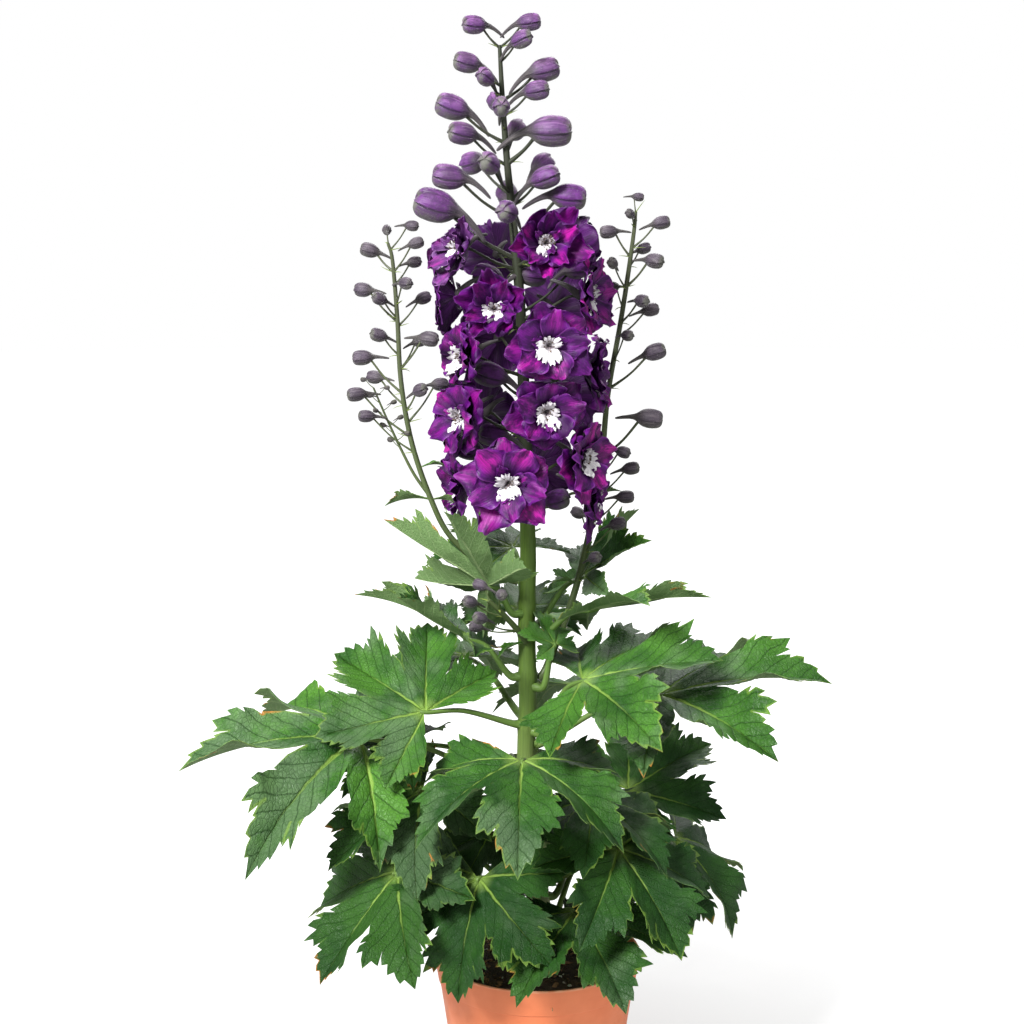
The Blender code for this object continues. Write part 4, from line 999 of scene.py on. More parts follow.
def flat_blade(hub, step, lobes, slender, rng):
    """The flat blade as a net of triangles: its points, its triangles and each point's edge distance."""
    outline = leaf_outline(hub, lobes, slender, rng)
    flat_x, flat_y = np.meshgrid(np.arange(-1.0, 1.0, step), np.arange(-1.0, 1.0, step * 0.866))
    flat_x = flat_x + (np.arange(len(flat_x))[:, None] % 2) * step / 2
    grid = np.stack((flat_x.ravel(), flat_y.ravel()), -1)
    grid = grid[inside(grid, outline)]
    distance = edge_distance(grid, outline)
    ribs = []
    for azimuth, length in lobes:
        angle = math.radians(azimuth)
        along = np.array((math.cos(angle), math.sin(angle)))
        across = np.array((-along[1], along[0]))
        for out in np.arange(step, length - step, step * 0.8):
            half = RIB_HALF_WIDTH * (1.1 - out / length)
            ribs += [out * along + side * across for side in (-half, 0.0, half)]
    ribs = np.array(ribs)
    ribs = ribs[edge_distance(ribs, outline) > step * 0.35]
    away = np.abs((grid[:, None, :] - ribs[None])).max(2).min(1)
    grid = grid[(distance > step * 0.45) & (away > step * 0.5)]
    points = [Vector(point) for point in (*outline, *ribs, *grid)]
    count = len(outline)
    edges = [(index, (index + 1) % count) for index in range(count)]
    points, _, faces, *_ = delaunay_2d_cdt(points, edges, [], 1, 1e-6)
    points = np.array([tuple(point) for point in points])
    return points, np.array(faces), edge_distance(points, outline)


def lobe_place(points):
    """(along, across) of each flat point in the lobe it belongs to."""
    reach = np.hypot(points[:, 0], points[:, 1])
    turn = np.arctan2(points[:, 1], points[:, 0])
    folded = (turn + LOBE_SPACING / 2) % LOBE_SPACING - LOBE_SPACING / 2
    return reach * np.cos(folded), reach * np.abs(np.sin(folded)), reach, turn, folded


def bent(points, length, droop, trough, rng):
    """The flat points on the drooping, folded blade, hub at the origin, its veins sunk in."""
    along, across, reach, turn, folded = lobe_place(points)
    phase = rng.uniform(0.0, 6.28)
    curve = math.radians(droop) * (1.0 + 0.5 * np.sin(turn) ** 2)
    curve = np.where(np.abs(curve) < 0.01, 0.01, curve)
    angle = curve * reach
    out = np.sin(angle) / curve
    down = (1.0 - np.cos(angle)) / curve
    past_gap = np.clip((reach - SINUS_DEPTH) / 0.25, 0.0, 1.0)
    halves = np.radians(trough) * past_gap
    fold = LEAF_FOLD * reach * (1.0 - np.cos(math.pi * np.abs(folded) / LOBE_SPACING))
    fold = fold + across * np.sin(halves)
    middle = turn - folded
    closer = across * (1.0 - np.cos(halves)) * np.sign(folded)
    flat = points + np.stack((np.sin(middle), -np.cos(middle)), -1) * closer[:, None]
    lobe = np.round(middle / LOBE_SPACING).astype(int) + 3
    tilts = np.array([rng.uniform(-0.22, 0.12) for _ in range(7)])[lobe]
    twists = np.array([rng.uniform(-0.35, 0.35) for _ in range(7)])[lobe]
    beyond = np.clip(reach - SINUS_DEPTH, 0.0, 1.0)
    loose = beyond * (tilts * beyond * 1.6 + twists * reach * np.sin(folded))
    wave = LEAF_WAVE * reach * reach * np.sin(3.0 * turn + phase)
    ruffle = RUFFLE_HEIGHT * np.clip(across / 0.2, 0, 1) * np.sin(along * 21.0 + phase)
    ruffle = ruffle * np.clip(reach * 3 - 1, 0, 1)
    veins = ((along - VEIN_SLOPE * across) / VEIN_SPACING) % 1.0
    quilt = QUILT_HEIGHT * np.sin(math.pi * veins) ** 0.8 * np.clip(across / 0.045, 0, 1)
    quilt = quilt * np.clip(reach * 5 - 0.4, 0, 1)
    rib = -RIB_DEPTH * np.clip(1.0 - across / (RIB_HALF_WIDTH * (1.35 - np.clip(reach, 0, 1.05))), 0, 1)
    rise = fold + loose + wave + ruffle + quilt + rib * np.clip(1.1 - reach, 0.2, 1) - down
    share = (out / np.maximum(reach, 1e-9))[:, None]
    return np.column_stack((flat * share, rise)) * length


def placed(matrix, points):
    """The points carried by a matrix."""
    matrix = np.array(matrix)
    return points @ matrix[:3, :3].T + matrix[:3, 3]


def blade_shell(points, faces, thickness):
    """A closed thin shell on a net of triangles: (front and back vertices, its triangles)."""
    first, second, third = (points[faces[:, corner]] for corner in range(3))
    ways = np.cross(second - first, third - first)
    normal = np.zeros_like(points)
    for corner in range(3):
        np.add.at(normal, faces[:, corner], ways)
    offset = unit(normal) * (thickness[:, None] / 2)
    edges = np.concatenate([faces[:, corners] for corners in ([0, 1], [1, 2], [2, 0])])
    count = len(points)
    codes = edges[:, 0] * count + edges[:, 1]
    rim = edges[~np.isin(codes, edges[:, 1] * count + edges[:, 0])]
    a, b = rim[:, 0], rim[:, 1]
    sides = np.concatenate((np.stack((b, a, a + count), -1), np.stack((b, a + count, b + count), -1)))
    every = np.concatenate((faces, faces[:, ::-1] + count, sides))
    return np.concatenate((points + offset, points - offset)), every.tolist()


def swept(route, radii, sides, up=(0.0, 0.0, 1.0)):
    """A closed tube along a route: (vertices, faces, each vertex's angle and distance along it).

    The radii are one for each row, or a table of one for each row and side.
    """
    route = np.asarray(route, float)
    radii = np.broadcast_to(np.asarray(radii, float).reshape(len(route), -1), (len(route), sides))
    ways = unit(np.gradient(route, axis=0))
    first = np.cross(np.cross(ways[0], up), ways[0])
    frames = [unit(first)]
    for way in ways[1:]:
        frames.append(unit(frames[-1] - way * np.dot(frames[-1], way)))
    normal = np.array(frames)
    side = np.cross(ways, normal)
    angle = np.arange(sides) * 2 * math.pi / sides
    rings = (route[:, None] + radii[..., None] * (
        normal[:, None] * np.cos(angle)[None, :, None] + side[:, None] * np.sin(angle)[None, :, None]))
    rows = len(route)
    index = np.arange(rows * sides).reshape(rows, sides)
    after = np.roll(index, -1, axis=1)
    quads = np.stack((index[:-1], after[:-1], after[1:], index[1:]), -1).reshape(-1, 4)
    start, end = rows * sides, rows * sides + 1
    caps = np.concatenate((
        np.stack((after[0], index[0], index[0] * 0 + start, index[0] * 0 + start), -1),
        np.stack((index[-1], after[-1], index[-1] * 0 + end, index[-1] * 0 + end), -1)))
    places = np.concatenate((rings.reshape(-1, 3), route[[0, -1]]))
    distance = np.concatenate(([0.0], np.cumsum(np.linalg.norm(np.diff(route, axis=0), axis=1))))
    return places, [*quads.tolist(), *caps[:, :3].tolist()], angle, distance


def build_leaf_veins(wiring, given):
    """Masks on the flat blade: its five ribs, the slanting veins between them and the fine net."""
    warp = wiring.add("ShaderNodeTexNoise", {"Vector": given["Own"], "Scale": 9.0, "Detail": 2.0})
    warp = wiring.vector("SUBTRACT", warp.outputs["Color"], (0.5, 0.5, 0.5))
    warp = wiring.add("ShaderNodeVectorMath", {0: warp, "Scale": 0.030}, operation="SCALE").outputs[0]
    place = wiring.vector("ADD", given["Own"], warp)
    flat = wiring.split(place)
    turn = wiring.math("ARCTAN2", flat["Y"], flat["X"])
    folded = wiring.math("WRAP", turn, LOBE_SPACING / 2, -LOBE_SPACING / 2)
    squares = [wiring.math("POWER", wiring.math("ABSOLUTE", flat[axis]), 2.0) for axis in ("X", "Y")]
    reach = wiring.math("SQRT", wiring.math("ADD", *squares))
    along = wiring.times(reach, wiring.math("COSINE", folded))
    across = wiring.times(reach, wiring.math("ABSOLUTE", wiring.math("SINE", folded)))
    rib_width = wiring.ramp(reach, 0.0, 0.9, 0.017, 0.0040)
    rib = wiring.ramp(wiring.math("DIVIDE", across, rib_width), 0.40, 1.0, 1.0, 0.0)
    slant = wiring.math("SUBTRACT", along, wiring.times(across, VEIN_SLOPE))
    slant = wiring.math("DIVIDE", slant, VEIN_SPACING)
    nearness = wiring.math("PINGPONG", slant, 0.5)
    vein = wiring.ramp(nearness, 0.01, 0.075, 1.0, 0.0)
    cells = 1.0
    for scale, least in ((34.0, 0.25), (90.0, 0.65)):
        net = {"Vector": place, "Scale": scale}
        net = wiring.add("ShaderNodeTexVoronoi", net, feature="DISTANCE_TO_EDGE").outputs["Distance"]
        cells = wiring.times(cells, wiring.ramp(net, 0.0, 0.16, least, 1.0))
    return {"Rib": rib, "Vein": vein, "Net": cells, "Reach": reach}


LEAF_VEINS = shader_group(
    "leaf veins",
    (("Own", "NodeSocketVector", None),),
    tuple((mask, "NodeSocketFloat") for mask in ("Rib", "Vein", "Net", "Reach")),
    build_leaf_veins,
)


def leaf_material():
    """The blade: own is the flat pattern with the edge distance as its Z.

    tone is half the leaf's freshness and painted light on its upper face and 1 more on its under face.
    """
    made, wiring, shader = new_material("leaf blade", Roughness=0.45, Specular_IOR_Level=0.22)
    own = wiring.own()
    tone = wiring.tone()
    under = wiring.math("GREATER_THAN", tone, 0.75)
    fresh_and_lit = wiring.times(wiring.math("SUBTRACT", tone, under), 2.0)
    place = wiring.object_place()
    masks = place_group(wiring, LEAF_VEINS, {"Own": own}).outputs
    edge = wiring.split(own)["Z"]
    patches = mottling(wiring, place, 15.0)
    # Painted grey-green sheen in broad patches
    painted_sheen_patches = mottling(wiring, place, 9.0)
    # Each leaf's green: its freshness with painted shade and light, in random patches
    shade = wiring.mix(fresh_and_lit, LEAF_DEEP, LEAF_MIDDLE)
    light = wiring.mix(fresh_and_lit, LEAF_MIDDLE, LEAF_FRESH)
    colour = wiring.mix(patches, shade, light)
    colour = wiring.mix(wiring.ramp(painted_sheen_patches, 0.45, 1.0, 0.0, 0.55), colour, LEAF_PAINTED_SHEEN)
    height = wiring.split(place)["Z"]
    # Painted shade: the lower leaves are darkened
    colour = wiring.mix(wiring.ramp(height, *SHADED_HEIGHTS, 0.58, 0.0), colour, LEAF_DEEP)
    # Painted shade along the sunk veins and the fine net
    colour = wiring.mix(wiring.times(masks["Vein"], 0.50), colour, LEAF_GROOVE_SHADE)
    grooves = wiring.times(masks["Net"], wiring.ramp(masks["Vein"], 0.0, 1.0, 1.0, 0.25))
    colour = wiring.mix(wiring.ramp(grooves, 0.0, 1.0, 0.42, 0.0), colour, LEAF_GROOVE_SHADE)
    near_hub = wiring.ramp(masks["Reach"], 0.08, 0.70, 0.80, 0.10)
    hub = wiring.ramp(masks["Reach"], 0.02, 0.16, 0.60, 0.0)
    veined = wiring.math("MAXIMUM", wiring.times(masks["Rib"], near_hub), hub)
    colour = wiring.mix(veined, colour, LEAF_VEIN)
    ribs = wiring.math("MAXIMUM", masks["Rib"], wiring.times(masks["Vein"], 0.5))
    back = wiring.mix(wiring.times(ribs, 0.7), LEAF_UNDER, (0.30, 0.40, 0.18))
    back = wiring.mix(wiring.ramp(masks["Net"], 0.0, 0.8, 0.4, 0.0), back, (0.20, 0.31, 0.13))
    colour = wiring.mix(under, colour, back)
    spread = wiring.ramp(wiring.noise(place, 26.0, 2.0), 0.40, 0.66, -0.012, 0.004)
    ragged = wiring.math("SUBTRACT", edge, spread)
    rim = wiring.ramp(ragged, 0.0, 0.011, 1.0, 0.0)
    colour = wiring.mix(wiring.times(rim, 0.45), colour, LEAF_EDGE)
    scorch = wiring.ramp(wiring.noise(place, 34.0, 2.0), 0.62, 0.70)
    scorch = wiring.times(scorch, wiring.ramp(edge, 0.0, 0.010, 1.0, 0.0))
    colour = wiring.mix(scorch, colour, LEAF_SCORCH)
    wiring.put(shader.inputs["Base Color"], colour)
    wiring.put(shader.inputs["Roughness"], wiring.ramp(under, 0.0, 1.0, 0.43, 0.70))
    relief = wiring.math("SUBTRACT", wiring.times(masks["Net"], 0.8), wiring.times(ribs, 1.1))
    wiring.bump(shader, relief, 0.65, 0.0009)
    return made


def leaf_frame(row):
    _, _, azimuth, reach, height, heading, elevation, roll, _, _ = row
    return seated(stem_point(height) + reach * around(azimuth), heading, elevation, roll)


def leaf(row, number, blade_finish, stalk_finish):
    """One leaf: its blade, and its channelled stalk from the stem to the blade's hub."""
    name, foot_height, azimuth, _, _, _, _, _, length, droop = row
    rng = random.Random(40 + number)
    placing = leaf_frame(row)
    growth = Growth()
    step = min(BLADE_STEP / length, 0.05)
    points, faces, edge = flat_blade(HUB_HALF_WIDTH / length, step, LOBES, SLENDER.get(name, 1.0), rng)
    trough = DEEP_TROUGHS.get(name, LOBE_TROUGH)
    shape = placed(placing, bent(points, length, droop - UPTURN.get(name, 0), trough, rng))
    thickness = BLADE_THICKNESS * np.clip(0.45 + 22.0 * edge, 0.45, 1.0)
    places, triangles = blade_shell(shape, faces, thickness)
    own = np.column_stack((points, edge))
    # The leaf's freshness, with its painted shade and light
    fresh_and_lit = FRESHNESS_AND_SHADE.get(name, 0.45) / 2
    tone = np.repeat((fresh_and_lit, 1.0 + fresh_and_lit), len(points))
    growth.add(places, triangles, np.concatenate((own, own)), tone)
    out = around(azimuth)
    upright = Vector((0.0, 0.0, 1.0))
    foot = stem_point(foot_height) + out * (stem_radius(foot_height) - 0.001)
    knee = foot + out * 0.008 + upright * 0.002
    hub = placing.translation
    middle = knee.lerp(hub, 0.55) + upright * (0.16 * (hub.z - knee.z) + 0.002)
    into = placing @ Vector((0.006, 0.0, -0.0016))
    end = placing @ Vector((0.0, 0.0, -0.0009))
    rows = [(*place, width) for place, width in zip((foot, knee, middle, end, into), LEAF_STALK_WIDTHS)]
    route = smoothed(rows, 8)
    width = route[:, 3:4]
    angle = np.arange(LEAF_STALK_SIDES) * 2 * math.pi / LEAF_STALK_SIDES
    channel = 1.0 - CHANNEL_DEPTH * np.exp(-(np.minimum(angle, 2 * math.pi - angle) / 0.5) ** 2)
    places, faces, angle, distance = swept(route[:, :3], width * channel[None, :], LEAF_STALK_SIDES)
    ring = triples(np.cos(angle)[None] * width, np.sin(angle)[None] * width, distance[:, None])
    own = np.concatenate((ring, [(0, 0, 0), (0, 0, distance[-1])]))
    growth.add(places, faces, own, 0.0, 1)
    replaced = [name] if name.startswith("leaf") else []
    dressed(growth.made(name + "_blade_and_stalk", blade_finish, stalk_finish), "leaf", *replaced)


blade_finish = leaf_material()
leaf_stalk_skin = stem_material("leaf stalk skin", (0.17, 0.27, 0.06), (0.10, 0.19, 0.035), 0.15, 0.42, 0.4)
for number, row in enumerate((*LEAVES, *YOUNG_LEAVES)):
    leaf(row, number, blade_finish, leaf_stalk_skin)


# The closed buds at the top of the spike: each is five sepals folded over one another into a slim
# barrel, drawn out behind into a drooping spur. They are soft and finely hairy, violet, and grey-green
# at the seams, the nose and the spur, with painted light on their tops and painted shade on their
# undersides and in dark lines along the seams where the sepals lap.
# Each bud: (x, y, height of its middle, length)
SPIKE_BUDS = (
    (-0.043, -0.004, 0.781, 0.019),
    (-0.008, 0.000, 0.783, 0.018),
    (-0.013, -0.012, 0.770, 0.018),
    (-0.048, 0.000, 0.756, 0.021),
    (-0.036, -0.013, 0.745, 0.018),
    (0.002, 0.000, 0.751, 0.024),
    (-0.003, -0.006, 0.737, 0.020),
    (-0.058, 0.000, 0.726, 0.026),
    (-0.026, -0.020, 0.725, 0.020),
    (-0.030, 0.014, 0.731, 0.019),
    (0.006, -0.008, 0.710, 0.032),
    (-0.051, -0.010, 0.708, 0.023),
    (-0.033, -0.024, 0.687, 0.022),
    (-0.060, -0.008, 0.679, 0.026),
    (0.003, -0.012, 0.678, 0.023),
    (0.019, -0.003, 0.666, 0.027),
    (-0.069, -0.006, 0.659, 0.034),
    (-0.021, -0.032, 0.655, 0.023),
    (-0.016, 0.022, 0.712, 0.022),
    (-0.045, 0.022, 0.690, 0.024),
    (0.002, 0.024, 0.688, 0.024),
    (-0.022, 0.032, 0.668, 0.026),
)
# A bud's half width at places along it: (place as a share of its length, width as a share of its widest)
BUD_PROFILE = (
    (0.500, 0.14), (0.492, 0.40), (0.462, 0.63), (0.395, 0.84), (0.290, 0.97), (0.150, 1.04),
    (0.000, 1.02), (-0.140, 0.92), (-0.260, 0.73), (-0.350, 0.51), (-0.430, 0.36), (-0.540, 0.28),
    (-0.680, 0.23), (-0.840, 0.20), (-0.980, 0.16), (-1.070, 0.11), (-1.100, 0.04),
)
BUD_SLIMNESS = 0.60
SPIKE_BUD_SIDES = 36
BUD_LIFT = 0.12
BUD_SWAY = 0.22
BUD_SEAT = (0.22, 0.06)
TOP_SEPAL = 38.0
SIDE_SEPAL = 110.0
SPIKE_BRANCHING = 0.72
SPIKE_SPUR_DROP = 0.42
BUD_VIOLET = (0.095, 0.026, 0.145)
# Painted light: the lighter colour of the bud tops
BUD_PAINTED_LIGHT = (0.350, 0.150, 0.390)
# Dark violet for random mottles, and for painted shade on the undersides and along the sepal seams
BUD_MOTTLE_AND_SHADE = (0.020, 0.008, 0.030)
BUD_OPENING = (0.130, 0.020, 0.190)
OPENING_HEIGHTS = (0.665, 0.705)
BUD_GREY = (0.040, 0.036, 0.038)
BUD_GREEN = (0.150, 0.160, 0.120)


def spike_root(place):
    """Where the stalk of a bud of the spike leaves the main stem."""
    x, y, height = place
    reach = math.hypot(x - stem_point(height).x, y)
    return stem_point(min(height - SPIKE_BRANCHING * reach, STEM_ROUTE[-1][1] - 0.002))


def bud_axis(centre, root):
    """The way a bud points, swaying a little with its place, and the way across it that is uppermost."""
    out = Vector((centre.x - root.x, centre.y - root.y, 0.0)).normalized()
    sway = Vector((-out.y, out.x, 0.0)) * (BUD_SWAY * math.sin(1900 * centre.z + 700 * centre.x))
    out = (out + sway + Vector((0.0, 0.0, BUD_LIFT + BUD_SWAY * math.sin(1300 * centre.z)))).normalized()
    up = (Vector((0.0, 0.0, 1.0)) - out * out.z).normalized()
    return out, up


def bud(growth, centre, length, root, drop, sides, rng):
    """One closed bud with its spur: its top sepal laps over two at the sides, and they over two below.

    own is (turn away from the top, the bud's own number, place along the bud).
    """
    out, up = bud_axis(centre, root)
    stations = smoothed(BUD_PROFILE, 2)
    along = stations[:, 0:1]
    sag = drop * np.clip((-0.35 - along) / 0.75, 0.0, 1.0) ** 1.7
    route = np.array(centre) + along * length * np.array(out) - sag * length * np.array(up)
    turn = np.arange(sides) * 360.0 / sides
    away = np.minimum(turn, 360.0 - turn)[None, :]
    side_lap = np.where(away < SIDE_SEPAL, (away - 74) / 72, (away - 140) / 100 - 0.12)
    lap = np.where(away < TOP_SEPAL, 0.22, side_lap)
    body = np.clip((along + 0.5) / 0.35, 0.0, 1.0)
    nose = np.clip((along - 0.20) / 0.28, 0.0, 1.0)
    neck = np.exp(-((along + 0.50) / 0.20) ** 2)
    wrinkles = 0.07 * neck * np.sin(np.radians(5 * turn)[None, :] + 9 * along)
    wrinkles = wrinkles + 0.05 * body * np.cos(np.radians(2 * away))
    shape = 1.0 + body * lap * (0.12 + 0.30 * nose) + wrinkles
    radii = BUD_SLIMNESS * length / 2 * np.maximum(stations[:, 1:2], 0.03) * shape
    places, faces, _, _ = swept(route, radii, sides, up)
    shift = (nose * lap * 0.055 * length).reshape(-1, 1) * np.array(out)
    places[:-2] += shift
    number = rng.random()
    own = np.concatenate((triples(away / 180.0, number, along), [(0.5, number, 0.5), (0.5, number, -1.1)]))
    growth.add(places, faces, own, rng.random())


def bud_stalk(centre, length, root):
    """The route of a bud's stalk, from the stem to the seat behind and below the bud's middle."""
    out, _ = bud_axis(centre, root)
    seat = centre - out * (BUD_SEAT[0] * length) - Vector((0.0, 0.0, BUD_SEAT[1] * length))
    middle = root.lerp(seat, 0.55) - Vector((0.0, 0.0, 0.06 * (seat - root).length))
    slim = 0.040 * length
    return smoothed([(*root, 1.5 * slim), (*middle, slim), (*seat, 1.1 * slim)], 6)


def bud_material(name, violet, light, greyness):
    """Bud skin, read along the bud from its nose at 0.5 to the tip of its spur at -1.1, with painted light
    on its top and painted shade on its underside and along its seams.
    """
    made, wiring, shader = new_material(name, Roughness=0.5, Specular_IOR_Level=0.35, Sheen_Weight=0.08)
    own = wiring.own()
    place = wiring.object_place()
    parts = wiring.split(own)
    mottled = mottling(wiring, place, 120.0)
    streaks = streaking(wiring, own, (16.0, 60.0, 1.8))
    # Painted light: the top of the bud is lighter
    painted_top_light = wiring.ramp(parts["X"], 0.05, 0.62, 1.0, 0.12)
    for mask in (wiring.ramp(parts["Z"], -0.42, 0.05), wiring.ramp(streaks, 0.0, 1.0, 0.25, 1.0)):
        painted_top_light = wiring.times(painted_top_light, mask)
    colour = wiring.mix(painted_top_light, violet, light)
    height = wiring.split(place)["Z"]
    if greyness <= 0.0:
        colour = wiring.mix(wiring.ramp(height, *OPENING_HEIGHTS, 0.75, 0.0), colour, BUD_OPENING)
    colour = wiring.mix(wiring.ramp(mottled, 0.2, 1.0, 0.0, 0.50), colour, BUD_MOTTLE_AND_SHADE)
    # Painted shade: the underside of the bud is darker
    colour = wiring.mix(wiring.ramp(parts["X"], 0.50, 1.0, 0.0, 0.45), colour, BUD_MOTTLE_AND_SHADE)
    # Painted shade in dark lines where the sepals lap over one another
    seam_shade = 0.0
    for sepal, shift, width, depth in ((TOP_SEPAL, 0.012, 0.045, 0.55), (SIDE_SEPAL, 0.015, 0.060, 1.0)):
        away = wiring.math("ABSOLUTE", wiring.math("SUBTRACT", parts["X"], sepal / 180.0 + shift))
        seam_shade = wiring.math("MAXIMUM", seam_shade, wiring.ramp(away, 0.0, width, depth, 0.0))
    seam_shade = wiring.times(seam_shade, wiring.ramp(parts["Z"], -0.5, -0.1))
    colour = wiring.mix(wiring.times(seam_shade, 0.85), colour, BUD_MOTTLE_AND_SHADE)
    ragged = wiring.math("ADD", parts["Z"], wiring.times(streaks, 0.12))
    spur = wiring.ramp(ragged, -0.40, -0.02, 1.0, 0.0)
    grey = wiring.mix(streaks, BUD_GREY, (0.095, 0.088, 0.078))
    colour = wiring.mix(wiring.times(spur, 0.90), colour, grey)
    belly = wiring.times(wiring.ramp(parts["X"], 0.60, 0.95), wiring.ramp(mottled, 0.1, 0.8, 0.2, 0.75))
    nose = wiring.times(wiring.ramp(parts["Z"], 0.38, 0.49), wiring.ramp(mottled, 0.1, 0.7, 0.3, 0.8))
    colour = wiring.mix(wiring.math("MAXIMUM", belly, nose), colour, BUD_GREEN)
    colour = wiring.mix(wiring.ramp(parts["Y"], 0.0, 1.0, greyness, greyness + 0.25), colour, grey)
    wiring.put(shader.inputs["Base Color"], colour)
    relief = wiring.math("ADD", wiring.times(streaks, 0.6), wiring.times(mottled, 0.4))
    wiring.bump(shader, wiring.math("SUBTRACT", relief, seam_shade), 0.55, 0.0006)
    return made


def bud_bract(growth, root, centre, rng):
    """The narrow yellow-green bract under a bud's stalk."""
    way = (centre - root).normalized()
    away = Vector((way.x, way.y, 0.3))
    length = rng.uniform(0.005, 0.010)
    bract(growth, root + 0.6 * stem_radius(root.z) * away, away, length, 0.0016, rng.uniform(-0.3, 0.4))


# Late buds stay shut between the open florets, close to the stem; they are darker than those above, as
# painted shade among the florets
LATE_BUDS = (
    (-0.034, 0.006, 0.610, 0.026),
    (-0.005, 0.006, 0.612, 0.024),
    (-0.032, -0.010, 0.543, 0.026),
    (-0.048, 0.006, 0.489, 0.024),
    (0.012, -0.010, 0.455, 0.022),
    (0.014, 0.004, 0.512, 0.024),
    (-0.030, -0.004, 0.500, 0.024),
    (0.026, 0.012, 0.616, 0.022),
)
rng = random.Random(21)
spike_bud_skin = bud_material("spike bud skin", BUD_VIOLET, BUD_PAINTED_LIGHT, 0.0)
# Darker violets: painted shade among the open florets
shaded_late_bud_skin = bud_material("late bud skin in painted shade", (0.060, 0.006, 0.090), (0.190, 0.025, 0.250), -0.2)
for title, buds, skin in (
    ("spike_buds", SPIKE_BUDS, spike_bud_skin),
    ("late_buds", LATE_BUDS, shaded_late_bud_skin),
):
    growth = Growth()
    lines = []
    bracts = Growth()
    for x, y, height, length in buds:
        centre = Vector((x, y, height))
        root = spike_root(centre)
        bud(growth, centre, length, root, SPIKE_SPUR_DROP, SPIKE_BUD_SIDES, rng)
        lines.append(bud_stalk(centre, length, root))
        bud_bract(bracts, root, centre, rng)
    dressed(growth.made(title, skin), "stem")
    dressed(stalks(title[:-1] + "_stalks", lines, flower_stem_skin, 5, 0.08), "stem")
    dressed(bracts.made(title[:-1] + "_bracts", bract_skin), "stem")


# The side sprays: thin wiry stems from the leaf joints, each with small grey-violet buds on fine
# stalks, and a small green bract where a stalk leaves. They come after the spike and are duller.
# Each row of a route: (x, y, height, half width)
LEFT_ROUTE = (
    (-0.0145, -0.002, 0.394, 0.0016),
    (-0.036, -0.004, 0.404, 0.0016),
    (-0.062, -0.006, 0.428, 0.0015),
    (-0.076, -0.008, 0.456, 0.0015),
    (-0.089, -0.009, 0.496, 0.0014),
    (-0.096, -0.010, 0.539, 0.0013),
    (-0.098, -0.010, 0.581, 0.0012),
    (-0.101, -0.010, 0.622, 0.0010),
    (-0.104, -0.010, 0.634, 0.0008),
)
LEFT_BUDS = (
    (-0.105, -0.006, 0.643, 0.011),
    (-0.088, -0.014, 0.646, 0.011),
    (-0.116, -0.006, 0.629, 0.015),
    (-0.085, -0.016, 0.634, 0.012),
    (-0.087, -0.004, 0.621, 0.012),
    (-0.092, -0.022, 0.607, 0.013),
    (-0.121, -0.004, 0.602, 0.015),
    (-0.109, -0.018, 0.596, 0.013),
    (-0.081, -0.004, 0.596, 0.013),
    (-0.110, -0.016, 0.571, 0.014),
    (-0.084, 0.004, 0.566, 0.013),
    (-0.077, -0.018, 0.569, 0.016),
    (-0.122, -0.004, 0.555, 0.016),
    (-0.083, -0.018, 0.533, 0.014),
    (-0.070, -0.002, 0.536, 0.014),
    (-0.126, -0.012, 0.530, 0.015),
    (-0.114, -0.002, 0.541, 0.014),
    (-0.119, -0.016, 0.515, 0.013),
)
RIGHT_ROUTE = (
    (0.0005, 0.002, 0.322, 0.0019),
    (0.008, 0.006, 0.334, 0.0019),
    (0.028, 0.014, 0.388, 0.0018),
    (0.044, 0.020, 0.462, 0.0016),
    (0.050, 0.022, 0.525, 0.0014),
    (0.058, 0.020, 0.574, 0.0013),
    (0.063, 0.016, 0.609, 0.0012),
    (0.067, 0.012, 0.642, 0.0010),
    (0.068, 0.010, 0.656, 0.0008),
)
RIGHT_BUDS = (
    (0.069, 0.010, 0.666, 0.009),
    (0.064, 0.004, 0.654, 0.010),
    (0.085, 0.010, 0.648, 0.014),
    (0.050, 0.008, 0.642, 0.014),
    (0.080, 0.004, 0.622, 0.016),
    (0.074, 0.022, 0.630, 0.012),
    (0.052, 0.002, 0.620, 0.012),
    (0.054, 0.028, 0.603, 0.012),
    (0.072, 0.006, 0.594, 0.014),
    (0.079, 0.020, 0.587, 0.014),
    (0.062, 0.002, 0.570, 0.012),
    (0.082, 0.018, 0.557, 0.018),
    (0.078, 0.010, 0.511, 0.021),
    (0.060, 0.008, 0.487, 0.013),
    (0.066, 0.016, 0.474, 0.014),
    (0.030, 0.026, 0.440, 0.013),
    (0.062, 0.012, 0.454, 0.014),
    (0.056, 0.002, 0.436, 0.014),
    (0.040, -0.002, 0.412, 0.013),
)
LOW_ROUTE = (
    (-0.0085, -0.0073, 0.352, 0.0017),
    (-0.014, -0.016, 0.362, 0.0016),
    (-0.026, -0.028, 0.378, 0.0014),
    (-0.035, -0.034, 0.388, 0.0012),
)
LOW_BUDS = (
    (-0.040, -0.032, 0.398, 0.012),
    (-0.026, -0.044, 0.394, 0.012),
    (-0.047, -0.040, 0.388, 0.013),
    (-0.040, -0.048, 0.378, 0.013),
    (-0.043, -0.030, 0.368, 0.012),
)
SPRAYS = (
    ("left_spray", LEFT_ROUTE, LEFT_BUDS),
    ("right_spray", RIGHT_ROUTE, RIGHT_BUDS),
    ("low_spray", LOW_ROUTE, LOW_BUDS),
)
SPRAY_BUD_SIDES = 24
SPRAY_STOUTNESS = 1.4
SPRAY_BRANCHING = 0.9
SPRAY_SPUR_DROP = 0.12
STALK_ROOM = 0.002


def route_point(route, height):
    return Vector((between(route, 2, 0, height), between(route, 2, 1, height), height))


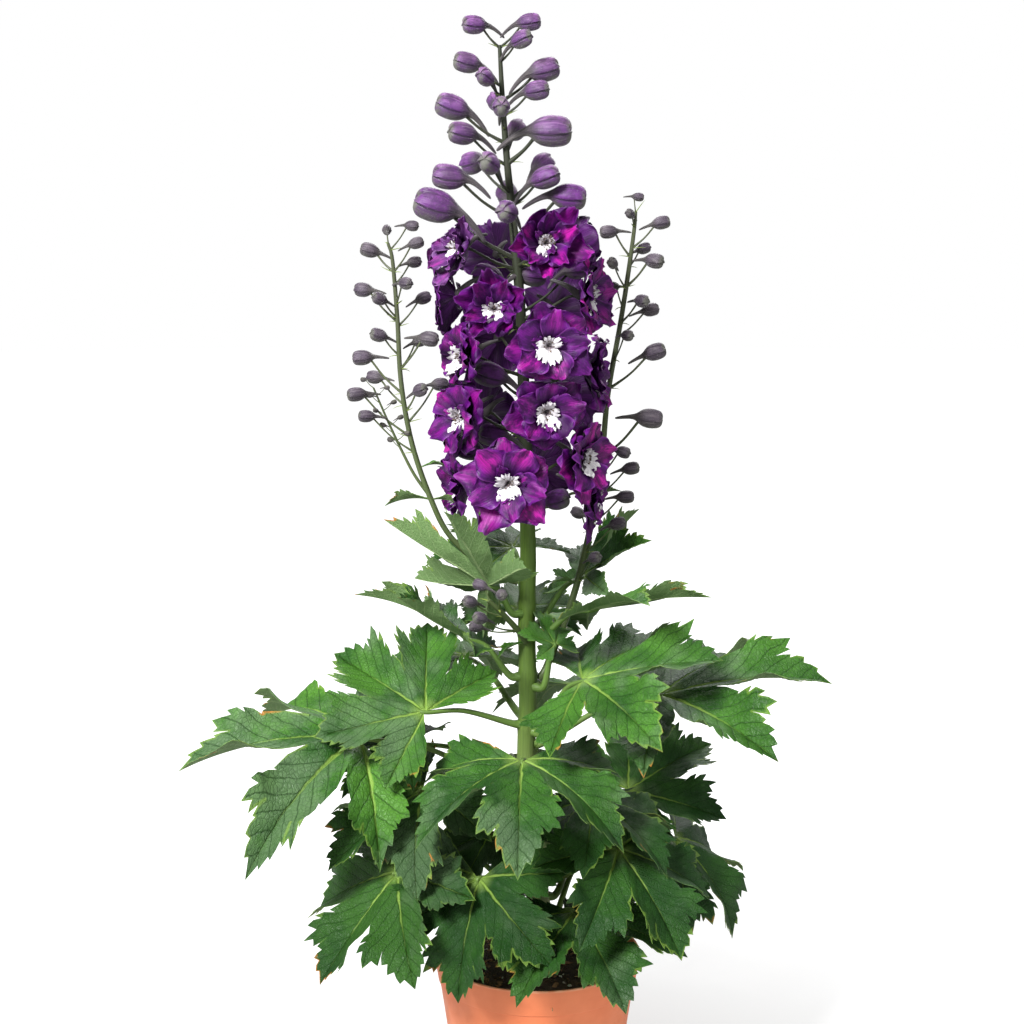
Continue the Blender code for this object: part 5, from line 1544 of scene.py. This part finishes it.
def spray_root(route, place):
    """Where the stalk of a spray's bud leaves the spray's stem."""
    x, y, height = place
    reach = math.hypot(x - between(route, 2, 0, height), y - between(route, 2, 1, height))
    lowest = route[0][2] + 0.010
    root = max(height - SPRAY_BRANCHING * reach - STALK_ROOM, lowest)
    return route_point(route, min(root, route[-1][2] - 0.001))


spray_bud_skin = bud_material("spray bud skin", (0.055, 0.030, 0.070), (0.220, 0.170, 0.235), 0.36)
spray_skin = stem_material("spray stem skin", (0.085, 0.120, 0.040), (0.075, 0.085, 0.045), 0.42, 0.60, 0.0)
for name, route, buds in SPRAYS:
    lines = [smoothed(route, 6) * (1.0, 1.0, 1.0, SPRAY_STOUTNESS)]
    buds_made = Growth()
    bracts = Growth()
    for x, y, height, length in buds:
        centre = Vector((x, y, height))
        root = spray_root(route, centre)
        bud(buds_made, centre, length, root, SPRAY_SPUR_DROP, SPRAY_BUD_SIDES, rng)
        lines.append(bud_stalk(centre, 1.15 * length, root))
        way = (centre - root).normalized()
        away = Vector((way.x, way.y, 0.15))
        bract(bracts, root, away, rng.uniform(0.006, 0.011), 0.0014, rng.uniform(-0.2, 0.5))
    dressed(stalks(name + "_stems", lines, spray_skin, 6, 0.06), "spray", name)
    dressed(buds_made.made(name + "_buds", spray_bud_skin), "spray")
    dressed(bracts.made(name + "_bracts", bract_skin), "spray")


# A second twig leaves the left spray low down and ends in a tuft of tiny green buds, set to both sides
# of it in turn. Small toothed leaflets sit where the sprays branch, and one where the low spray leaves.
TWIG_FOOT = 0.457
TWIG_REACH = 0.039
TWIG_RISE = 0.077
TWIG_BUDS = 9
TWIG_BARE_SHARE = 0.45
TWIG_BUD_LENGTH = 0.0058
TWIG_BUD_OUT = 0.007
TWIG_BUD_SIDES = 16
TWIG_STEPS = 5
TWIG_WIDTHS = (0.0013, 0.0007)
GOLDEN_TURN = 2.4
LEAFLET_THICKNESS = 0.0004
# Each leaflet: (what it sits on, height, heading, elevation, roll, length)
LEAFLETS = (
    (LEFT_ROUTE, 0.455, 170, 14, 20, 0.034),
    (LEFT_ROUTE, 0.455, 5, 12, -20, 0.020),
    (LEFT_ROUTE, 0.478, 10, 24, 0, 0.019),
    (RIGHT_ROUTE, 0.396, 35, 35, 0, 0.026),
    (RIGHT_ROUTE, 0.390, 210, 30, 0, 0.022),
    (RIGHT_ROUTE, 0.452, 10, 40, 0, 0.020),
    (LOW_ROUTE, 0.352, 190, -4, 0, 0.024),
)


def twig_point(share):
    """A point on the twig, which leans out to the left less and less as it rises."""
    return route_point(LEFT_ROUTE, TWIG_FOOT) + Vector((-TWIG_REACH * share ** 0.8, 0.0, TWIG_RISE * share))


rng = random.Random(27)
twig = []
for step in range(TWIG_STEPS + 1):
    share = step / TWIG_STEPS
    twig.append((*twig_point(share), TWIG_WIDTHS[0] + (TWIG_WIDTHS[1] - TWIG_WIDTHS[0]) * share))
lines = [smoothed(twig, 5)]
tiny_buds = Growth()
for index in range(TWIG_BUDS):
    root = twig_point(TWIG_BARE_SHARE + (1.0 - TWIG_BARE_SHARE) * index / (TWIG_BUDS - 1))
    side = TWIG_BUD_OUT if index % 2 else -TWIG_BUD_OUT
    centre = root + Vector((side, 0.5 * TWIG_BUD_OUT * math.cos(GOLDEN_TURN * index), 0.8 * TWIG_BUD_OUT))
    length = TWIG_BUD_LENGTH * rng.uniform(0.85, 1.1)
    bud(tiny_buds, centre, length, root, SPRAY_SPUR_DROP, TWIG_BUD_SIDES, rng)
    lines.append(bud_stalk(centre, 1.3 * length, root))
dressed(stalks("left_twig", lines, spray_skin, 6, 0.06), "spray")
tiny_bud_skin = bud_material("tiny bud skin", (0.08, 0.07, 0.06), (0.20, 0.22, 0.14), 0.3)
dressed(tiny_buds.made("left_twig_buds", tiny_bud_skin), "spray")
leaflets = Growth()
for route, height, heading, elevation, roll, length in LEAFLETS:
    points, faces, edge = flat_blade(0.0012 / length, 0.05, ((0, 1.0),), 0.9, rng)
    placing = seated(route_point(route, height), heading, elevation, roll)
    shape = placed(placing, bent(points, length, 45, 20, rng))
    places, triangles = blade_shell(shape, faces, np.full(len(points), LEAFLET_THICKNESS))
    own = np.column_stack((points, edge))
    leaflets.add(places, triangles, np.concatenate((own, own)), np.repeat((0.45, 1.45), len(points)))
dressed(leaflets.made("small_leaflets", blade_finish), "leaf")


# The florets: each has five broad outer sepals, five inner ones and a few small petals that stand up
# round the white bee in its throat. The petals are satiny and ruffled, deep purple with a magenta
# flush and fine darker veins, paler at their edges and darkened towards their bases as painted shade
# in the throat; the backs are duller, and a spur runs out behind.
SEPALS_IN_RING = 5
INNER_SIZE = 0.80
INNER_OPENING = 0.84
SEPAL_SIZES = (0.90, 1.05)
SEPAL_SWING = 5.0
SEPAL_THICKNESS = 0.00045
CELL_MARGIN = 0.0007
BUD_ROOM = 0.6
SPUR_ROOM = 0.005
CELL_REACH = 0.02
CELL_SOFTNESS = 0.28
SPUR_ROUTE = (
    (0.0012, 0.0000, 0.0032),
    (-0.0016, 0.0008, 0.0034),
    (-0.0050, 0.0036, 0.0027),
    (-0.0100, 0.0075, 0.0019),
    (-0.0160, 0.0104, 0.0014),
    (-0.0215, 0.0122, 0.0010),
    (-0.0225, 0.0125, 0.0002),
)
PETAL_DEEP = (0.030, 0.0010, 0.052)
PETAL_PURPLE = (0.120, 0.004, 0.190)
PETAL_MAGENTA = (0.440, 0.010, 0.290)
PETAL_EDGE = (0.260, 0.045, 0.330)
PETAL_BACK = (0.085, 0.012, 0.125)
YOUNG_DEEP = (0.085, 0.022, 0.120)
YOUNG_PURPLE = (0.230, 0.075, 0.300)
YOUNG_EDGE = (0.42, 0.20, 0.50)
# Painted shade in the floret's throat
PETAL_THROAT_SHADE = (0.014, 0.002, 0.024)
BEE_WHITE = (0.88, 0.86, 0.87)
# How much each floret flushes to magenta: those that have been open longest flush most
FLUSH = {
    "bloom_01": 0.85, "bloom_02": 0.6, "bloom_04": 0.8, "bloom_07": 1.0, "bloom_08": 0.6, "bloom_10": 0.6,
    "bloom_12": 0.9, "bloom_13": 0.8,
}
HALF_OPEN = ("bloom_05", "bloom_14", "bloom_16")
FULLNESS = {"bloom_01": 1.05, "bloom_02": 1.05, "bloom_03": 1.08}
# The bee's petals: (turn from straight down, length, how far open at the middle, how much it curls back)
BEE_PETALS = (
    (-30, 0.0172, 52, 34), (34, 0.0165, 56, 30), (4, 0.0135, 62, 26), (-92, 0.0125, 44, 26),
    (104, 0.0120, 44, 26), (158, 0.0100, 34, 20), (208, 0.0105, 34, 20),
)
STAINED_BEE_LENGTH = 0.0130
WIDEST = 0.64
STAMENS = 18
STAMEN_LENGTH = 0.0056
STAMEN_GRAIN = 0.00065
STAMEN_SPREAD = 0.0024
STAMEN_SEAT = 0.0032


def slim_neighbours():
    """Points, with the room to leave round them, along the side sprays and the lowest spike buds."""
    places = []
    for _, route, buds in SPRAYS[:2]:
        height = route[0][2]
        while height < route[-1][2]:
            places.append((route_point(route, height), STALK_ROOM))
            height += 4 * STALK_ROOM
        for x, y, z, length in buds:
            centre = Vector((x, y, z))
            places.append((centre, BUD_ROOM * length))
            places.append((centre.lerp(spray_root(route, centre), 0.55), STALK_ROOM))
    top = max(height + length for _, height, _, _, _, _, length, _ in BLOOMS)
    for x, y, z, length in SPIKE_BUDS:
        if z - length < top:
            centre = Vector((x, y, z))
            places.append((centre, BUD_ROOM * length))
            places.append((centre.lerp(spike_root(centre), 0.35), SPUR_ROOM))
            places.append((centre.lerp(spike_root(centre), 0.65), STALK_ROOM))
    return places


SLIM_NEIGHBOURS = slim_neighbours()


def cell(row):
    """The planes round a floret's room: (its centre, their normals, their distances from the centre)."""
    centre = bloom_frame(row).translation
    normals = []
    distances = []
    for other in BLOOMS:
        way = bloom_frame(other).translation - centre
        if other is not row and way.length < row[6] + other[6] + CELL_REACH:
            normals.append(way.normalized())
            distances.append(way.length * row[6] / (row[6] + other[6]) - CELL_MARGIN)
    for place, room in SLIM_NEIGHBOURS:
        way = place - centre
        if way.length < row[6] + CELL_REACH:
            normals.append(way.normalized())
            distances.append(way.length - room - CELL_MARGIN)
    return np.array(centre), np.array(normals), np.array(distances)


def kept_in_cell(points, room):
    """The points, bent softly inwards where they near a plane of the floret's room."""
    centre, normals, distances = room
    ways = points - centre
    over = ways @ normals.T / distances
    share = np.maximum(over.max(-1), 1e-6)
    start = 1.0 - CELL_SOFTNESS
    eased = start + CELL_SOFTNESS * (1.0 - np.exp(-(share - start) / CELL_SOFTNESS))
    kept = np.where(share > start, eased / share, 1.0)
    return centre + ways * kept[..., None]


def petal(growth, placing, room, turn, size, shape, rng, flush):
    """One petal on a grid; shape gives its outline and folds; own is (along, across, its own number)."""
    length, opening, bow = size
    rows = np.linspace(0.0, 1.0, shape["rows"])
    columns = np.linspace(-1.0, 1.0, shape["columns"])
    u, v = np.meshgrid(rows, columns, indexing="ij")
    phase = [rng.uniform(0, 6.28) for _ in range(4)]
    lean = np.radians(opening + bow * (2 * rows - 1))
    step = np.diff(rows, prepend=0.0)
    path_out = np.cumsum(np.cos(lean) * step)[:, None]
    path_up = np.cumsum(np.sin(lean) * step)[:, None]
    wide, base, tip = shape["widths"]
    half = base + (wide - base) * np.sin(math.pi / 2 * np.minimum(u / WIDEST, 1)) ** 1.1
    half = half - (wide - tip) * np.clip((u - WIDEST) / (1.0 - WIDEST), 0, 1) ** 1.7
    edge = 1.0 - shape["round"] * np.abs(v) ** 2.2 * u ** 2
    edge = edge - shape["notch"] * np.exp(-(v / 0.22) ** 2) * u ** 6
    edge = edge + shape["fringe"] * np.sin(9 * v + phase[0]) * u ** 6
    across = v * half * math.sin(math.radians(min(opening + 8, 90)))
    across = across + 0.05 * u * np.sin(2.2 * u + phase[3])
    lift = shape["lap"] * v * half + shape["cup"] * (v * half) ** 2 * 6.0
    lift = lift + shape["ruffle"] * np.abs(v) ** 1.6 * u * np.sin(13 * u + 2.0 * np.sign(v) + phase[1])
    lift = lift + 0.9 * shape["ruffle"] * u ** 3 * np.sin(6.5 * v + phase[2])
    lift = lift - 0.028 * np.exp(-(v / 0.13) ** 2) * np.sin(math.pi * u)
    lift = lift + 0.011 * u * np.cos(4 * math.pi * v + phase[0])
    normal_out = np.sin(lean)[:, None]
    normal_up = -np.cos(lean)[:, None]
    out = shape["start"][0] + length * (path_out * edge + lift * normal_out)
    up = shape["start"][1] + (length - shape["start"][1]) * path_up * edge + length * lift * normal_up
    side = length * across
    turned_up = up * math.cos(turn) - side * math.sin(turn)
    turned_side = up * math.sin(turn) + side * math.cos(turn)
    grid = placed(placing, triples(out, turned_up, turned_side))
    if room is not None:
        grid = kept_in_cell(grid, room)
    grid = grid.reshape(len(rows), len(columns), 3)
    thickness = shape["thickness"] * (1.15 - 0.55 * np.maximum(u, np.abs(v)))
    places, faces = thin_sheet(grid, thickness)
    own = triples(u, v, rng.random())
    tone = np.repeat((flush, -1.0 - flush), u.size)
    growth.add(places, faces, np.concatenate((own, own)), tone)


# Shapes of petals: widths are the half widths at the widest place, the base and the tip, start is where
# the petal leaves the floret's axis, along it and away from it, and the rest are shares of its length
OUTER_SHAPE = {
    "rows": 16, "columns": 15, "widths": (0.40, 0.11, 0.21), "round": 0.30, "notch": 0.0, "fringe": 0.030,
    "cup": 0.05, "lap": 0.15, "ruffle": 0.062, "start": (-0.0001, 0.0028), "thickness": SEPAL_THICKNESS,
}
INNER_SHAPE = {
    **OUTER_SHAPE, "rows": 14, "widths": (0.40, 0.12, 0.24), "ruffle": 0.065, "start": (0.0025, 0.0024),
}
SMALL_SHAPE = {
    **OUTER_SHAPE, "rows": 10, "columns": 9, "widths": (0.34, 0.16, 0.24), "ruffle": 0.09, "fringe": 0.05,
    "start": (0.0030, 0.0020),
}
BEE_SHAPE = {
    **OUTER_SHAPE, "rows": 12, "columns": 11, "widths": (0.36, 0.12, 0.30), "round": 0.10, "notch": 0.26,
    "fringe": 0.07, "cup": -0.12, "lap": 0.0, "ruffle": 0.10, "start": (0.0034, 0.0012),
    "thickness": 0.0004,
}


def petal_material(name, deep, purple, edge):
    """Petal skin: tone is the magenta flush on the front of a petal and below zero on its back."""
    made, wiring, shader = new_material(name, Roughness=0.45, Specular_IOR_Level=0.25)
    own = wiring.own()
    tone = wiring.tone()
    parts = wiring.split(own)
    across = wiring.math("ABSOLUTE", parts["Y"])
    streaks = streaking(wiring, own, (2.2, 17.0, 40.0))
    clouds = mottling(wiring, wiring.stretch(own, (1.0, 0.8, 30.0)), 2.3)
    colour = wiring.mix(clouds, deep, purple)
    middle = wiring.times(wiring.ramp(across, 0.10, 0.85, 1.0, 0.0), wiring.ramp(parts["X"], 0.25, 0.62))
    flush = wiring.times(wiring.times(middle, tone), wiring.ramp(clouds, 0.2, 0.8, 0.2, 1.0))
    flush = wiring.math("MAXIMUM", flush, 0.0)
    colour = wiring.mix(flush, colour, PETAL_MAGENTA)
    # Painted shade: the petals darken towards the throat
    colour = wiring.mix(wiring.ramp(parts["X"], 0.12, 0.60, 0.9, 0.0), colour, PETAL_THROAT_SHADE)
    colour = wiring.mix(wiring.times(streaks, 0.42), colour, deep)
    rim = wiring.math("MAXIMUM", wiring.ramp(across, 0.86, 1.0), wiring.ramp(parts["X"], 0.92, 1.0))
    colour = wiring.mix(wiring.times(rim, 0.45), colour, edge)
    back = wiring.mix(streaks, PETAL_BACK, (0.034, 0.005, 0.055))
    keel = wiring.ramp(across, 0.0, 0.30, 0.5, 0.0)
    keel = wiring.times(keel, wiring.ramp(parts["X"], 0.2, 0.95, 1.0, 0.2))
    back = wiring.mix(keel, back, (0.060, 0.045, 0.062))
    colour = wiring.mix(wiring.math("LESS_THAN", tone, -0.5), colour, back)
    wiring.put(shader.inputs["Base Color"], colour)
    wiring.put(shader.inputs["Roughness"], wiring.ramp(streaks, 0.0, 1.0, 0.38, 0.55))
    wiring.bump(shader, streaks, 0.35, 0.0005)
    return made


def bee_material():
    """The pale petals of the bee: white, streaked with grey, dark at the throat."""
    made, wiring, shader = new_material("bee petals", Roughness=0.6, Sheen_Weight=0.2)
    own = wiring.own()
    tone = wiring.math("ABSOLUTE", wiring.tone())
    parts = wiring.split(own)
    streaks = streaking(wiring, own, (2.0, 9.0, 30.0))
    colour = wiring.mix(wiring.times(streaks, 0.55), BEE_WHITE, (0.46, 0.42, 0.48))
    colour = wiring.mix(wiring.times(tone, 0.8), colour, (0.22, 0.19, 0.22))
    colour = wiring.mix(wiring.ramp(parts["X"], 0.08, 0.36, 0.95, 0.0), colour, (0.060, 0.024, 0.045))
    wiring.put(shader.inputs["Base Color"], colour)
    wiring.bump(shader, streaks, 0.4, 0.0003)
    return made


def stamen_material():
    """Stamens: tone is 0 on the pale thread and 1 on the dark grain at its end."""
    made, wiring, shader = new_material("stamens", Roughness=0.7)
    place = wiring.object_place()
    grain = mottling(wiring, place, 900.0)
    thread = wiring.mix(grain, (0.30, 0.24, 0.26), (0.52, 0.47, 0.45))
    head = wiring.mix(grain, (0.035, 0.022, 0.020), (0.16, 0.11, 0.07))
    wiring.put(shader.inputs["Base Color"], wiring.mix(wiring.tone(), thread, head))
    return made


def build_stamens(wiring, given):
    """A thread with a grain at its end on every point, pointing the way that its point says."""
    way = carried(wiring, "way", "FLOAT_VECTOR")
    turn = wiring.add("FunctionNodeAlignRotationToVector", {"Vector": way}, axis="Z").outputs[0]
    thread = wiring.add("GeometryNodeMeshCone", {
        "Vertices": 4, "Radius Top": 0.00010, "Radius Bottom": 0.00018, "Depth": given["Length"]})
    end = wiring.add("ShaderNodeCombineXYZ", {"Z": given["Length"]}).outputs[0]
    grain = wiring.add("GeometryNodeMeshIcoSphere", {"Radius": given["Grain"], "Subdivisions": 1})
    grain = wiring.add("GeometryNodeTransform", {
        "Geometry": grain.outputs["Mesh"], "Translation": end, "Scale": (1.0, 0.8, 1.6)})
    both = wiring.add("GeometryNodeJoinGeometry")
    wiring.put(both.inputs[0], stored(wiring, thread.outputs["Mesh"], "tone", 0.0, "FLOAT"))
    wiring.put(both.inputs[0], stored(wiring, grain.outputs[0], "tone", 1.0, "FLOAT"))
    return wiring.add("GeometryNodeInstanceOnPoints", {
        "Points": given["Geometry"], "Instance": both.outputs[0], "Rotation": turn,
        "Scale": random_size(wiring, 0.65, 1.1, 0)}).outputs[0]


STAMEN_TREE = node_tree(
    "stamens", (("Length", "NodeSocketFloat"), ("Grain", "NodeSocketFloat")), build_stamens,
)
petal_skin = petal_material("petal", PETAL_DEEP, PETAL_PURPLE, PETAL_EDGE)
young_petal_skin = petal_material("young petal", YOUNG_DEEP, YOUNG_PURPLE, YOUNG_EDGE)
bee_skin = bee_material()
stamen_skin = stamen_material()
spur_skin = bud_material("spur skin", (0.060, 0.025, 0.085), (0.14, 0.08, 0.17), 0.25)


def floret(row, number):
    """One floret: its rings of petals, its spur, its bee and its stamens."""
    name, _, _, _, _, _, length, opening = row
    rng = random.Random(100 + number)
    placing = bloom_frame(row)
    room = cell(row)
    flush = FLUSH.get(name, 0.40)
    length = length * FULLNESS.get(name, 1.14)
    first = rng.uniform(-0.3, 0.3)
    half = math.pi / SEPALS_IN_RING
    bow = 14.0 if opening > 65 else -12.0
    growth = Growth()
    for ring, shape in enumerate((OUTER_SHAPE, INNER_SHAPE)):
        for index in range(SEPALS_IN_RING):
            reach = length * (INNER_SIZE if ring else 1.0) * rng.uniform(*SEPAL_SIZES)
            lean = opening * (INNER_OPENING if ring else 1.0) + rng.uniform(-SEPAL_SWING, SEPAL_SWING)
            turn = first + ring * half + half * (2 * index + 1)
            size = (reach, lean, bow * rng.uniform(0.4, 1.6))
            petal(growth, placing, room, turn, size, shape, rng, flush * rng.uniform(0.1, 1.5))
    for index in range(3):
        turn = first + 0.5 + index * 2.1 + rng.uniform(-0.4, 0.4)
        size = (length * rng.uniform(0.36, 0.46), opening * 0.74 + rng.uniform(-6, 8), rng.uniform(0, 18))
        petal(growth, placing, room, turn, size, SMALL_SHAPE, rng, flush * rng.uniform(0.1, 1.0))
    spur = smoothed(SPUR_ROUTE, 4)
    route = placed(placing, np.stack((spur[:, 0], 0 * spur[:, 0], spur[:, 1]), -1))
    places, faces, angle, _ = swept(route, spur[:, 2:3], 12)
    own = triples(0.3, 0.5, -0.3 - 30.0 * np.abs(spur[:, 0:1]) + 0 * angle)
    growth.add(places, faces, np.concatenate((own, own[-2:])), 0.5, 1)
    skin = young_petal_skin if name in HALF_OPEN else petal_skin
    dressed(growth.made(name + "_petals", skin, spur_skin, sharp=70), "petal", name)
    bee = Growth()
    shrink = 0.72 if opening < 65 else 1.0
    for turn, reach, lean, curl in BEE_PETALS:
        turn = math.radians(turn + rng.uniform(-14, 14) - 90.0)
        reached = shrink * reach * rng.uniform(0.82, 1.12)
        size = (reached, lean + rng.uniform(-9, 9), curl + rng.uniform(-12, 12))
        stain = 0.0 if reach > STAINED_BEE_LENGTH else rng.uniform(0.3, 1.0)
        petal(bee, placing, None, turn, size, BEE_SHAPE, rng, stain)
    dressed(bee.made(name + "_bee", bee_skin, sharp=70), "petal")
    points = []
    ways = []
    for index in range(STAMENS):
        angle = index * GOLDEN_TURN
        spread = STAMEN_SPREAD * math.sqrt((index + 0.5) / STAMENS)
        side = Vector((0.0, math.cos(angle), math.sin(angle)))
        points.append(placing @ (Vector((STAMEN_SEAT, 0.0, 0.0)) + side * spread))
        ways.append(placing.to_3x3() @ (Vector((1.0, 0.0, 0.0)) + side * rng.uniform(0.1, 0.9)).normalized())
    mesh = bpy.data.meshes.new(name + "_stamens")
    mesh.from_pydata([tuple(point) for point in points], [], [])
    mesh.attributes.new("way", "FLOAT_VECTOR", "POINT").data.foreach_set("vector", np.array(ways).ravel())
    stamens = new_piece(name + "_stamens", mesh)
    grow(stamens, STAMEN_TREE, stamen_skin, Length=STAMEN_LENGTH, Grain=STAMEN_GRAIN)
    dressed(stamens, "petal")


for number, row in enumerate(BLOOMS):
    floret(row, number)


# The hairs: the spike and spray buds, the spike buds' stalks and the spray stems carry a short silvery
# down. Each hair is a fine tapering spike, strewn by rule over the skin of the piece under it and
# leaning a little at random.
HAIR_WIDTH = 0.00005
HAIR_LEAN = 0.6
HAIR_PALE = (0.52, 0.50, 0.53)
HAIR_DULL = (0.17, 0.15, 0.18)
# Each piece with down on it: (name, hairs to a square metre, their length)
HAIRY_PIECES = (
    ("spike_buds", 420000.0, 0.0008),
    ("left_spray_buds", 500000.0, 0.0006),
    ("right_spray_buds", 500000.0, 0.0006),
    ("low_spray_buds", 500000.0, 0.0006),
    ("spike_bud_stalks", 300000.0, 0.0007),
    ("left_spray_stems", 200000.0, 0.0007),
    ("right_spray_stems", 200000.0, 0.0007),
)


def build_hairs(wiring, given):
    """Hairs of one length standing all over the surface, each leaning its own way."""
    strewn = wiring.add("GeometryNodeDistributePointsOnFaces", {
        "Mesh": given["Geometry"], "Density": given["Density"], "Seed": given["Seed"]})
    hair = wiring.add("GeometryNodeMeshCone", {
        "Vertices": 3, "Radius Top": 0.0, "Radius Bottom": HAIR_WIDTH, "Depth": given["Length"]})
    standing = wiring.add("GeometryNodeInstanceOnPoints", {
        "Points": strewn.outputs["Points"], "Instance": hair.outputs["Mesh"],
        "Rotation": strewn.outputs["Rotation"]})
    lean = random_tilt(wiring, HAIR_LEAN, given["Seed"])
    leaning = {"Instances": standing.outputs[0], "Rotation": lean}
    return wiring.add("GeometryNodeRotateInstances", leaning).outputs[0]


HAIR_TREE = node_tree(
    "standing hairs",
    (("Density", "NodeSocketFloat"), ("Length", "NodeSocketFloat"), ("Seed", "NodeSocketInt")),
    build_hairs,
)

hair_skin, wiring, shader = new_material("silvery hairs", Roughness=0.55)
place = wiring.object_place()
mottled = mottling(wiring, place, 260.0)
wiring.put(shader.inputs["Base Color"], wiring.mix(mottled, HAIR_DULL, HAIR_PALE))
for number, (name, density, length) in enumerate(HAIRY_PIECES):
    hairs = new_piece(name + "_hairs", bpy.data.objects[name].data.copy())
    hairs.data.materials.clear()
    grow(hairs, HAIR_TREE, hair_skin, Density=density, Length=length, Seed=31 + number)
    dressed(hairs, "stem")
